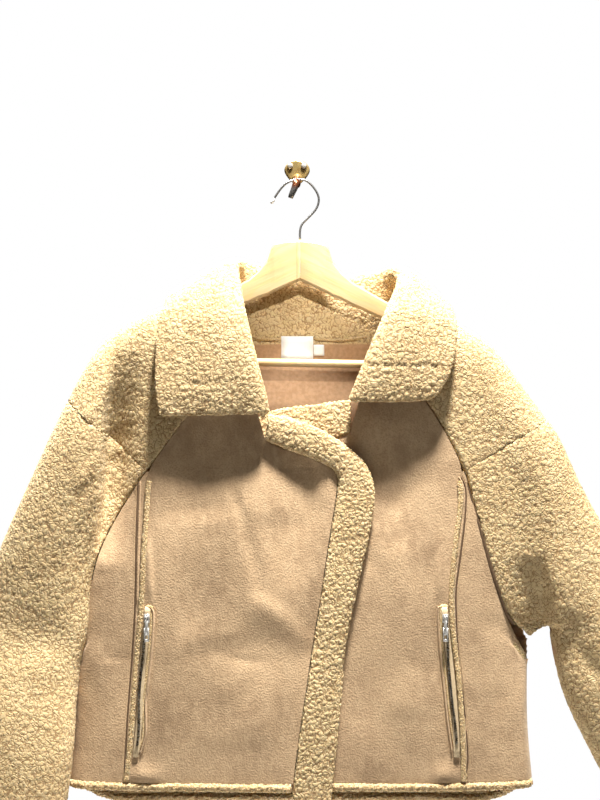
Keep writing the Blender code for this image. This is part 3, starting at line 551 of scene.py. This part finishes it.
def end_tree(tree, shape, look):
    """Gives out the tree's shape as one mesh in a material."""
    single = add(tree, "GeometryNodeRealizeInstances", {"Geometry": shape}).outputs[0]
    dressed = add(tree, "GeometryNodeSetMaterial", {"Geometry": single, "Material": look}).outputs[0]
    tree.links.new(dressed, tree.nodes.new("NodeGroupOutput").inputs[0])


pile_inputs = {"Cloth": "Geometry", "Pile height": "Float", "Fineness": "Float", "Look": "Material"}
pile_tree, given = shape_tree("curly_pile", pile_inputs, "Fleece")
spot = add(pile_tree, "GeometryNodeInputPosition", {}).outputs[0]
spot = vector(pile_tree, "SCALE", spot, given["Fineness"])
noted = add(
    pile_tree,
    "GeometryNodeStoreNamedAttribute",
    {"Geometry": given["Cloth"], "Name": "cloth_place", "Value": spot},
    data_type="FLOAT_VECTOR",
    domain="POINT",
)
piled = add(pile_tree, "GeometryNodeInputNamedAttribute", {"Name": "piled"}, data_type="FLOAT").outputs[0]
curls = maths(pile_tree, "MULTIPLY", curl_height(pile_tree, spot), given["Pile height"])
tufts = maths(pile_tree, "SUBTRACT", noise(pile_tree, spot, TUFT_WAVES, 1.0), 0.5)
raised = maths(pile_tree, "ADD", curls, maths(pile_tree, "MULTIPLY", tufts, TUFT_SWELL))
raised = maths(pile_tree, "MULTIPLY", maths(pile_tree, "SUBTRACT", raised, PILE_SINK), piled)
offset = vector(pile_tree, "SCALE", add(pile_tree, "GeometryNodeInputNormal", {}).outputs[0], raised)
shaped = add(pile_tree, "GeometryNodeSetPosition", {"Geometry": noted.outputs[0], "Offset": offset})
end_tree(pile_tree, shaped.outputs[0], given["Look"])


def with_tree(piece, tree, **values):
    """Applies a node tree to the piece, with its named inputs set."""
    made = piece.modifiers.new(tree.name, "NODES")
    made.node_group = tree
    names = {s.name: s.identifier for s in tree.interface.items_tree if s.in_out == "INPUT"}
    for name, value in values.items():
        made[names[name.replace("_", " ")]] = value
    return made_real(piece)


def pulled(mesh, pulls):
    """Draws the cloth about a few places: (x, z), how far round, and how far across and up, in mm."""
    places = points_of(mesh)
    for (x, z), around, across, up in pulls:
        away = np.hypot(places[:, 0] * 1000 - x, places[:, 2] * 1000 - z)
        share = np.exp(-((away / around) ** 2))
        places[:, 0] += across / 1000 * share
        places[:, 2] += up / 1000 * share
    mesh.vertices.foreach_set("co", places.ravel())


def sink_lines(piece, lines):
    """Presses seams into the pile: lines of (x, z) in mm, half width and depth in mm."""
    mesh = piece.data
    places = points_of(mesh)
    normals = np.zeros(len(places) * 3)
    mesh.vertex_normals.foreach_get("vector", normals)
    normals = normals.reshape(-1, 3)
    facing = np.clip(-normals[:, 1] * 2, 0, 1)
    for line, width, depth in lines:
        sunk = depth / 1000 * np.exp(-((line_distance(places, line)[0] / width) ** 2)) * facing
        places -= normals * sunk[:, None]
    mesh.vertices.foreach_set("co", places.ravel())


def fleece_piece(
    node, name, voxel=VOXEL, evening=4, piled_sides=PILE_OUTSIDE, lines=(), pile=0.0008, reach=0.0018,
    pulls=(), look=fleece, fineness=1.0,
):
    """A piece of fleece in a node's place, with its folds, pulls, sunk seams and pile."""
    mesh = copied_solid(node)
    sides = cloth_sides(mesh)
    spread_rims(mesh, sides, reach)
    piece = fleece_grid(mesh, sides, name, voxel, evening, piled_sides)
    if any(word in node for word in FRONT_FOLDED):
        fold(piece.data, FOLDS, FRONT)
    if any(word in node for word in BACK_FOLDED):
        fold(piece.data, BACK_FOLDS, BACK)
    pulled(piece.data, pulls)
    sink_lines(piece, lines)
    with_tree(piece, pile_tree, Pile_height=pile, Fineness=fineness, Look=look)
    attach(piece, "jacket")
    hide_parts(node)
    return piece


back = fleece_piece("back_panel", "back_cloth", voxel=0.0028, reach=0.003, pulls=[((258, -537), 30, 15, 0)])
yoke_right = fleece_piece("shoulder_right", "yoke_right_cloth", reach=0.0024)
yoke_left = fleece_piece("shoulder_left", "yoke_left_cloth", reach=0.0024)
sleeve_right = fleece_piece(
    "sleeve_right",
    "sleeve_right_cloth",
    evening=9,
    reach=0.003,
    pulls=[((-256, -560), 60, 8, 0), ((-262, -665), 70, 6, 0)],
)
sleeve_left = fleece_piece(
    "sleeve_left", "sleeve_left_cloth", evening=9, reach=0.003, pulls=[((279, -574), 40, 0, 26)]
)
# Seams pressed into the collar's wings, with their half widths and depths in mm
COLLAR_SEAMS = [
    ([(-125, -256), (-65, -250)], 2.2, 0.6),
    ([(-125, -195), (-125, -256)], 2.2, 0.5),
    ([(80, -234), (157, -235)], 2.2, 0.8),
]
collar = fleece_piece("collar", "collar_cloth", voxel=0.0022, lines=COLLAR_SEAMS)

# Edge bands and trims: strips of the fleece folded over the front edges, the hem and the pocket
# seams, pile outwards, and sewn down by machine.

# How many times finer the curls of trims and rolls are than those of the large pieces
TRIM_FINENESS = 1.9
# The bands and the hem lie over their seams, so they don't reach into them
STRIP = {"voxel": 0.0017, "piled_sides": ALL_ROUND, "reach": 0.0}
band_right = fleece_piece("front_band_right", "front_band_right_cloth", **STRIP)
band_left = fleece_piece("front_band_left", "front_band_left_cloth", **STRIP)
# The hem is drawn up a little, all along
HEM_PULL = ((0, -710), 3000, 0, 2.2)
hem = fleece_piece(
    "hem_trim", "hem_fleece", **STRIP, pile=0.0011, pulls=[HEM_PULL], look=edge_fleece, fineness=1.5
)
for side in ("right", "left"):
    fleece_piece(
        f"seam_trim_{side}",
        f"seam_trim_{side}_fleece",
        voxel=0.0011,
        evening=3,
        piled_sides=ALL_ROUND,
        pile=0.0004,
        reach=0.0,
        look=edge_fleece,
        fineness=TRIM_FINENESS,
    )

# Pocket zips: a woven tape behind two rows of metal teeth, with a die-cast slider and a pull tab
# that swings on it. On the panels beside them lie the seam's binding, a thin dark roll of painted
# shade in the seam's ditch beside it, the pocket's flap, welt and facing, and rows of stitches.

TOOTH_SIZE, TOOTH_PITCH, TOOTH_STAGGER = (0.0017, 0.0012, 0.0009), 0.0012, 0.0014
STITCH_RADIUS, STITCH_LENGTH, STITCH_PITCH = 0.00028, 0.0024, 0.0036
# How far the teeth and stitches lie in front of the cloth, in mm
TEETH_LIFT, STITCH_LIFT = 2.9, 0.1
# How far parts lie from their lines towards the side seam, in mm
SHADE_ROLL_ASIDE, WELT_ASIDE, FACING_ASIDE = 2.6, 1.3, 4.4
STITCHES_ASIDE = {"binding": 5.2, "outer": -2.6}
# The share of a span that a smooth curve is worked out at, and the mm between the points of a line
CURVE_STEP, LINE_STEP = 0.05, 1.5
# Where rays to the cloth start and where it is looked for if they miss, in metres, and over how many
# points to each side its depth is evened
RAY_START, CLOTH_FRONT, LAID_REACH = -0.2, -0.07, 5
# How many sides a roll has, and the square of the share of its width that it has at its ends
ROLL_SIDES, ROLL_END = 8, 0.04

metal, tree, shader = finish_material("nickel_plate", 0.25, metallic=0.55)
scuffs = noise(tree, object_place(tree), 700, 3)
paint(tree, shader, tint(tree, ramp(tree, scuffs, 0.3, 0.8), (0.64, 0.62, 0.59), (0.26, 0.25, 0.23)))
tree.links.new(ramp(tree, scuffs, 0.2, 0.8, 0.3, 0.5), shader.inputs["Roughness"])

tape, tree, shader = finish_material("zip_tape_weave", 0.85)
ribs = noise(tree, object_place(tree), 900, 1, (1.0, 1.0, 0.3))
paint(tree, shader, tint(tree, ribs, (0.46, 0.34, 0.20), (0.66, 0.52, 0.33)))
relief(tree, shader, ribs, 0.0003)


def plain_piece(node, name, body, look, levels):
    mesh = copied_solid(node)
    piece = link_piece(name, mesh, look)
    rounded(piece, levels)
    made_real(piece)
    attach(piece, body)
    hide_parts(node)
    return piece


def smooth_line(line):
    """A smooth curve through (x, z) points, at even steps in mm."""
    line = np.asarray(line, float)
    rows = np.vstack([2 * line[0] - line[1], line, 2 * line[-1] - line[-2]])
    curve = []
    for a, b, c, d in zip(rows, rows[1:], rows[2:], rows[3:]):
        for t in np.arange(0, 1, CURVE_STEP):
            curve.append(b + t / 2 * (c - a + t * (2 * a - 5 * b + 4 * c - d + t * (3 * b - a - 3 * c + d))))
    curve = np.array(curve + [line[-1]])
    along = np.concatenate([[0], np.cumsum(np.linalg.norm(np.diff(curve, axis=0), axis=1))])
    even = np.linspace(0, along[-1], max(int(along[-1] / LINE_STEP), 2) + 1)
    return np.column_stack([np.interp(even, along, curve[:, k]) for k in (0, 1)])


def cloth_tree(pieces):
    """The surfaces of a few finished pieces, to lay others on."""
    corners, faces = [], []
    for piece in pieces:
        faces += [tuple(len(corners) + k for k in face.vertices) for face in piece.data.polygons]
        corners += [vertex.co for vertex in piece.data.vertices]
    return BVHTree.FromPolygons([tuple(c) for c in corners], faces)


def laid(cloth, line, lift=0.0):
    """Places in metres along (x, z) points in mm, lying so many mm in front of the cloth."""
    depths = []
    for x, z in line:
        hit = cloth.ray_cast(Vector((x / 1000, RAY_START, z / 1000)), Vector((0, 1, 0)))[0]
        hit = hit or cloth.find_nearest(Vector((x / 1000, CLOTH_FRONT, z / 1000)))[0]
        depths.append(hit.y)
    count = 2 * LAID_REACH + 1
    depths = np.convolve(np.pad(depths, LAID_REACH, mode="edge"), np.full(count, 1 / count), mode="valid")
    return np.column_stack([line[:, 0] / 1000, depths - lift / 1000, line[:, 1] / 1000])


def mesh_from(name, corners, faces):
    """A closed mesh with its faces turned outwards."""
    mesh = bpy.data.meshes.new(name)
    mesh.from_pydata([tuple(c) for c in corners], [], faces)
    shape = bmesh.new()
    shape.from_mesh(mesh)
    bmesh.ops.recalc_face_normals(shape, faces=shape.faces)
    shape.to_mesh(mesh)
    shape.free()
    mesh.shade_smooth()
    return mesh


def sewn_on(piece):
    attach(piece, "jacket")
    return piece


def cloth_roll(name, cloth, line, across, out, look):
    """A narrow roll of cloth laid on the jacket, with its half widths across and outwards in mm."""
    line = smooth_line(line)
    middle = laid(cloth, line)
    run = np.gradient(line, axis=0)
    beside = np.column_stack([-run[:, 1], np.zeros(len(run)), run[:, 0]])
    beside /= np.linalg.norm(beside, axis=1, keepdims=True)
    share = np.linspace(0, 1, len(line))
    wide = np.interp(share, np.linspace(0, 1, len(across)), across)
    taper = np.minimum(1, np.sqrt(np.minimum(share, 1 - share) * len(line) / 2 + ROLL_END))
    corners = []
    for centre, normal, half, scale in zip(middle, beside, wide, taper):
        for k in range(ROLL_SIDES):
            turn = 2 * math.pi * k / ROLL_SIDES
            flat, tall = half * scale * math.cos(turn) / 1000, out * scale * math.sin(turn) / 1000
            corners.append(centre + normal * flat + np.array([0, -tall, 0]))
    rings = [range(start, start + ROLL_SIDES) for start in range(0, len(corners), ROLL_SIDES)]
    faces = []
    for ring, after in zip(rings, rings[1:]):
        for k in range(ROLL_SIDES):
            beyond = (k + 1) % ROLL_SIDES
            faces.append((ring[k], ring[beyond], after[beyond], after[k]))
    faces += [tuple(rings[0])[::-1], tuple(rings[-1])]
    piece = link_piece(name, mesh_from(name, corners, faces), look)
    rounded(piece, 1)
    made_real(piece)
    mark_piled(piece.data, points_of(piece.data) * TRIM_FINENESS)
    return sewn_on(piece)


def row_tree(name, item, sizes):
    """A node tree that sets small items along a path, turned to it and staggered to its two sides."""
    inputs = {"Path": "Geometry", "Pitch": "Float", "Stagger": "Float", "Look": "Material"}
    tree, given = shape_tree(name, inputs, "Row")
    curve = add(tree, "GeometryNodeMeshToCurve", {"Mesh": given["Path"]}).outputs[0]
    inputs = {"Curve": curve, "Length": given["Pitch"]}
    spots = add(tree, "GeometryNodeCurveToPoints", inputs, mode="LENGTH").outputs
    order = add(tree, "GeometryNodeInputIndex", {}).outputs[0]
    turn = maths(tree, "SUBTRACT", maths(tree, "MODULO", order, 2.0), 0.5)
    across = vector(tree, "CROSS_PRODUCT", spots["Tangent"], (0.0, 1.0, 0.0))
    shift = vector(tree, "SCALE", across, maths(tree, "MULTIPLY", turn, given["Stagger"]))
    moved = add(tree, "GeometryNodeSetPosition", {"Geometry": spots["Points"], "Offset": shift}).outputs[0]
    facing = add(tree, "FunctionNodeAlignRotationToVector", {"Vector": spots["Tangent"]}, axis="Z").outputs[0]
    shape = add(tree, item, sizes).outputs[0]
    inputs = {"Points": moved, "Instance": shape, "Rotation": facing}
    end_tree(tree, add(tree, "GeometryNodeInstanceOnPoints", inputs).outputs[0], given["Look"])
    return tree


def row_of(name, tree, places, pitch, stagger, look):
    """Items in a row along places in metres."""
    path = bpy.data.meshes.new(name)
    path.from_pydata([tuple(p) for p in places], [(i, i + 1) for i in range(len(places) - 1)], [])
    piece = link_piece(name, path, look)
    with_tree(piece, tree, Pitch=pitch, Stagger=stagger, Look=look)
    piece.data.shade_flat()
    return sewn_on(piece)


teeth = row_tree("zip_teeth", "GeometryNodeMeshCube", {"Size": TOOTH_SIZE})
stitch_sizes = {"Vertices": 6, "Radius": STITCH_RADIUS, "Depth": STITCH_LENGTH}
stitches = row_tree("stitch_row", "GeometryNodeMeshCylinder", stitch_sizes)

tooth_metal, tree, shader = finish_material("teeth_painted_glints", 0.4, metallic=1.0)
# Painted glints: the teeth are painted near black, with bright spots in noise that stand in for glints of
# light.
glints = ramp(tree, noise(tree, object_place(tree), 420, 3), 0.42, 0.6)
paint(tree, shader, tint(tree, glints, (0.035, 0.03, 0.028), (0.60, 0.59, 0.57)))

# Painted shade: dark rolls laid in the seams' ditches, where the cloth falls into shadow. The noise only
# varies their dark tone.
painted_seam_shade, tree, shader = finish_material("painted_seam_shade", 0.9)
shade_noise = noise(tree, object_place(tree), 900, 2)
paint(tree, shader, tint(tree, shade_noise, (0.05, 0.026, 0.011), (0.16, 0.09, 0.042)))
relief(tree, shader, shade_noise, 0.0002)

thread, tree, shader = finish_material("tan_thread", 0.7, sheen=0.2)
ply = noise(tree, object_place(tree), 2500, 1)
paint(tree, shader, tint(tree, ply, (0.42, 0.27, 0.13), (0.62, 0.44, 0.25)))
relief(tree, shader, ply, 0.0001)

# The lines of (x, z) in mm that each pocket's parts follow down the seam
POCKETS = {
    "right": {
        "binding": [
            (-179.7, -366), (-180.7, -410), (-181.9, -490), (-183.2, -524), (-186, -564), (-189.1, -604),
            (-191.5, -634), (-193.3, -663), (-194.9, -688), (-194.2, -704),
        ],
        "flap": [(-173.5, -510), (-168, -509.5), (-163.5, -511.5)],
        "outer": [
            (-166, -509.5), (-162.9, -514), (-162.5, -526), (-163.8, -547), (-166.3, -574), (-169.8, -604),
            (-172, -619), (-171.6, -640), (-172, -656), (-175, -670), (-178.4, -679),
        ],
        "teeth": [
            (-172.7, -522), (-173.9, -540), (-175.9, -564), (-178.9, -591), (-180.7, -615), (-180.5, -636),
            (-180.7, -650), (-182.7, -668),
        ],
    },
    "left": {
        "binding": [
            (185, -360), (190.7, -376), (189.5, -410), (184.3, -451), (179.3, -490), (179.7, -524),
            (182.1, -564), (185.4, -597), (188.7, -622), (192.2, -661), (193.4, -688), (190.1, -704),
        ],
        "flap": [(173, -509), (167, -508.5), (162, -511)],
        "outer": [
            (163, -508.5), (159.9, -512), (160.8, -540), (163.8, -572), (167.2, -604), (169.7, -629),
            (173.1, -655), (176.3, -677),
        ],
        "teeth": [
            (171, -522), (172.4, -547), (173.1, -575), (175.6, -602), (177.7, -622), (180.6, -643),
            (182.9, -666),
        ],
    },
}
panels = cloth_tree([front_right, front_left, side_right, side_left])
for side, lines in POCKETS.items():
    plain_piece(f"zip_{side}", f"zip_{side}_tape", "jacket", tape, 2)
    plain_piece(f"zip_slider_{side}", f"zip_{side}_slider", "jacket", metal, 1)
    plain_piece(f"zip_pull_{side}", f"zip_{side}_pull", f"zip_pull_{side}", metal, 1)
    outboard = -1 if side == "right" else 1
    binding, outer = np.array(lines["binding"]), np.array(lines["outer"])
    cloth_roll(f"seam_binding_{side}", panels, binding, (1.0, 1.9, 1.9, 1.9, 1.5), 1.7, suede)
    edge = binding + (SHADE_ROLL_ASIDE * outboard, 0)
    # A dark roll of painted shade in the ditch beside the binding.
    cloth_roll(f"seam_painted_shade_{side}", panels, edge, (0.9, 1.3, 1.3, 1.0, 0.9, 0.8), 0.7, painted_seam_shade)
    cloth_roll(f"zip_flap_{side}", panels, lines["flap"], (2.8, 3.0, 2.4), 2.2, edge_fleece)
    welt, facing = outer + (WELT_ASIDE * outboard, 0), outer + (FACING_ASIDE * outboard, 0)
    cloth_roll(f"zip_welt_{side}", panels, welt, (1.2, 1.7, 1.6, 1.4, 1.1), 2.4, suede)
    cloth_roll(f"zip_facing_{side}", panels, facing, (2.0, 2.3, 2.0, 1.9, 1.3), 2.0, edge_fleece)
    row = laid(panels, smooth_line(lines["teeth"]), TEETH_LIFT)
    row_of(f"zip_{side}_teeth", teeth, row, TOOTH_PITCH, TOOTH_STAGGER, tooth_metal)
    for part, aside in STITCHES_ASIDE.items():
        row = laid(panels, smooth_line(lines[part]) + (aside * outboard, 0), STITCH_LIFT)
        row_of(f"stitching_{side}_{part}", stitches, row, STITCH_PITCH, 0.0, thread)

# Armhole: painted shade in the gap beside the left armhole seam, a thin dark roll laid on the
# panels.

ARMHOLE_SHADE_LINE = [(194.5, -366), (207.5, -412.5), (221.8, -463), (231, -490), (241, -519), (250, -532)]
cloth_roll("armhole_painted_shade_left", panels, ARMHOLE_SHADE_LINE, (0.7, 1.3, 2.0, 2.4, 1.6), 0.7, painted_seam_shade)

# Neck: the collar seam's allowance is turned in a roll to both sides of the main label. Both satin
# labels are blank.

satin, tree, shader = finish_material("label_satin", 0.55, sheen=0.2)
weave = noise(tree, object_place(tree), 1500, 1, (1.0, 1.0, 0.4))
paint(tree, shader, tint(tree, weave, (0.80, 0.80, 0.80), (0.93, 0.93, 0.93)))
relief(tree, shader, weave, 0.0002)
NECK_SEAM = {
    "right": [(-56, -198), (-39.9, -201.4), (-21, -202.2)],
    "left": [(19, -200.4), (26.3, -201.6), (49.2, -202.8), (66, -201), (84, -198)],
}
neck_cloth = cloth_tree([back])
for side, line in NECK_SEAM.items():
    cloth_roll(f"neck_binding_{side}", neck_cloth, line, (2.0, 2.3, 2.0), 2.2, edge_fleece)
label_main = plain_piece("label_main", "neck_label", "jacket", satin, 2)
plain_piece("label_size", "size_label", "jacket", satin, 2)

# Hanger: two arms of pale wood glued at the middle, a round trouser bar, and a bent wire hook with a
# white cap on its end. The grain runs down each arm.

# How far an arm falls in a metre outwards, and how far apart the grain of the two arms is read
ARM_SLOPE, GRAIN_APART = 0.46, 0.31
# The phase of the rings in radians a metre, and the radians that it wanders by
RING_PHASE, RING_WANDER = 260.0, 16.0
# The rounding of the wood's edges, the angle that counts as an edge and the one that stays sharp
SANDED_WIDTH, SANDED_ANGLE, SHARP_ANGLE = 0.0012, math.radians(25), math.radians(60)
# The cap on the hook's end: its place, its lean, its radius and how many times as long as wide it is
CAP_PLACE, CAP_TURN = (-0.0283, -0.040, -0.0411), math.radians(32)
CAP_RADIUS, CAP_STRETCH = 0.0022, 1.8

wood, tree, shader = finish_material("pale_lacquered_wood", 0.38)
shader.inputs["Coat Weight"].default_value = 0.25
shader.inputs["Coat Roughness"].default_value = 0.2
axes = add(tree, "ShaderNodeSeparateXYZ", {0: object_place(tree)}).outputs
outwards = maths(tree, "ABSOLUTE", axes["X"])
fallen = maths(tree, "ADD", axes["Z"], maths(tree, "MULTIPLY", outwards, ARM_SLOPE))
apart = maths(tree, "MULTIPLY", maths(tree, "SIGN", axes["X"]), GRAIN_APART)
along_arm = add(tree, "ShaderNodeCombineXYZ", {0: outwards, 1: axes["Y"], 2: fallen}).outputs[0]
along_arm = vector(tree, "ADD", along_arm, apart)
wander = maths(tree, "MULTIPLY", noise(tree, along_arm, 14, 2), RING_WANDER)
level = maths(tree, "ADD", maths(tree, "MULTIPLY", fallen, RING_PHASE), wander)
rings = maths(tree, "ABSOLUTE", maths(tree, "SINE", level))
grain = noise(tree, along_arm, 60, 4, (0.12, 1.0, 1.0))
pores = noise(tree, along_arm, 420, 2, (0.08, 1.0, 1.0))
base = tint(tree, ramp(tree, grain, 0.3, 0.7), (0.475, 0.33, 0.16), (0.545, 0.415, 0.23))
base = tint(tree, ramp(tree, rings, 0.75, 1.0, 0.0, 0.45), base, (0.62, 0.39, 0.16))
base = tint(tree, ramp(tree, pores, 0.5, 0.8, 0.0, 0.3), base, (0.55, 0.36, 0.15))
glued = maths(
    tree, "MULTIPLY", ramp(tree, outwards, 0.0003, 0.001, 0.45, 0.0), ramp(tree, axes["Z"], -0.2, -0.19)
)
paint(tree, shader, tint(tree, glued, base, (0.28, 0.16, 0.06)))
relief(tree, shader, pores, 0.0002)


def wooden_piece(node, name):
    piece = link_piece(name, copied_solid(node), wood)
    softened = piece.modifiers.new("sanded_edges", "BEVEL")
    softened.width = SANDED_WIDTH
    softened.segments = 3
    softened.angle_limit = SANDED_ANGLE
    made_real(piece)
    piece.data.set_sharp_from_angle(angle=SHARP_ANGLE)
    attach(piece, "jacket")
    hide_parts(node)
    return piece


for node in ("hanger_arm_right", "hanger_arm_left", "hanger_bar"):
    wooden_piece(node, node + "_wood")

wire, tree, shader = finish_material("bright_wire", 0.3, metallic=0.8)
drawn = noise(tree, object_place(tree), 600, 2, (1.0, 1.0, 0.2))
paint(tree, shader, tint(tree, drawn, (0.26, 0.26, 0.26), (0.42, 0.41, 0.40)))
plain_piece("hanger_hook", "hanger_hook_wire", "jacket", wire, 1)

cap, tree, shader = finish_material("white_cap", 0.4)
shader.inputs["Base Color"].default_value = (0.85, 0.85, 0.84, 1)
ball = bmesh.new()
bmesh.ops.create_uvsphere(ball, u_segments=16, v_segments=10, radius=CAP_RADIUS)
bmesh.ops.scale(ball, verts=ball.verts, vec=(1.0, 1.0, CAP_STRETCH))
bmesh.ops.rotate(ball, verts=ball.verts, matrix=Matrix.Rotation(CAP_TURN, 3, "Y"))
bmesh.ops.translate(ball, verts=ball.verts, vec=CAP_PLACE)
cap_mesh = bpy.data.meshes.new("hanger_hook_cap")
ball.to_mesh(cap_mesh)
ball.free()
cap_mesh.shade_smooth()
sewn_on(link_piece("hanger_hook_cap", cap_mesh, cap))

# Wall hook: a cast brass shield and prong, polished, on two small nickel screws. The prong's front
# is painted dark maroon below, a painted dark reflection, and the hook is grey below a level near its tip.

brass, tree, shader = finish_material("polished_brass", 0.22, metallic=0.72)
place = object_place(tree)
axes = add(tree, "ShaderNodeSeparateXYZ", {0: place}).outputs
tarnish = noise(tree, place, 160, 4)
gilt = tint(tree, ramp(tree, tarnish, 0.4, 0.75), (0.74, 0.54, 0.22), (0.42, 0.26, 0.08))
# Painted dark reflection: the front of the prong, below a level, is painted dark maroon.
standing_out = ramp(tree, axes["Y"], -0.011, -0.006, 1.0, 0.0)
dark_reflection_mask = maths(tree, "MULTIPLY", standing_out, ramp(tree, axes["Z"], -0.010, -0.004, 1.0, 0.0))
gilt_with_dark_reflection = tint(tree, dark_reflection_mask, gilt, (0.20, 0.07, 0.03))
# Below a level near the tip, the hook is painted grey.
paint(tree, shader, tint(tree, ramp(tree, axes["Z"], -0.031, -0.025, 1.0, 0.0), gilt_with_dark_reflection, (0.24, 0.23, 0.22)))
tree.links.new(ramp(tree, tarnish, 0.3, 0.7, 0.16, 0.34), shader.inputs["Roughness"])
plain_piece("wall_hook", "wall_hook_brass", "jacket", brass, 2)
for side in ("right", "left"):
    plain_piece(f"wall_screw_{side}", f"wall_screw_{side}_head", "jacket", metal, 1)
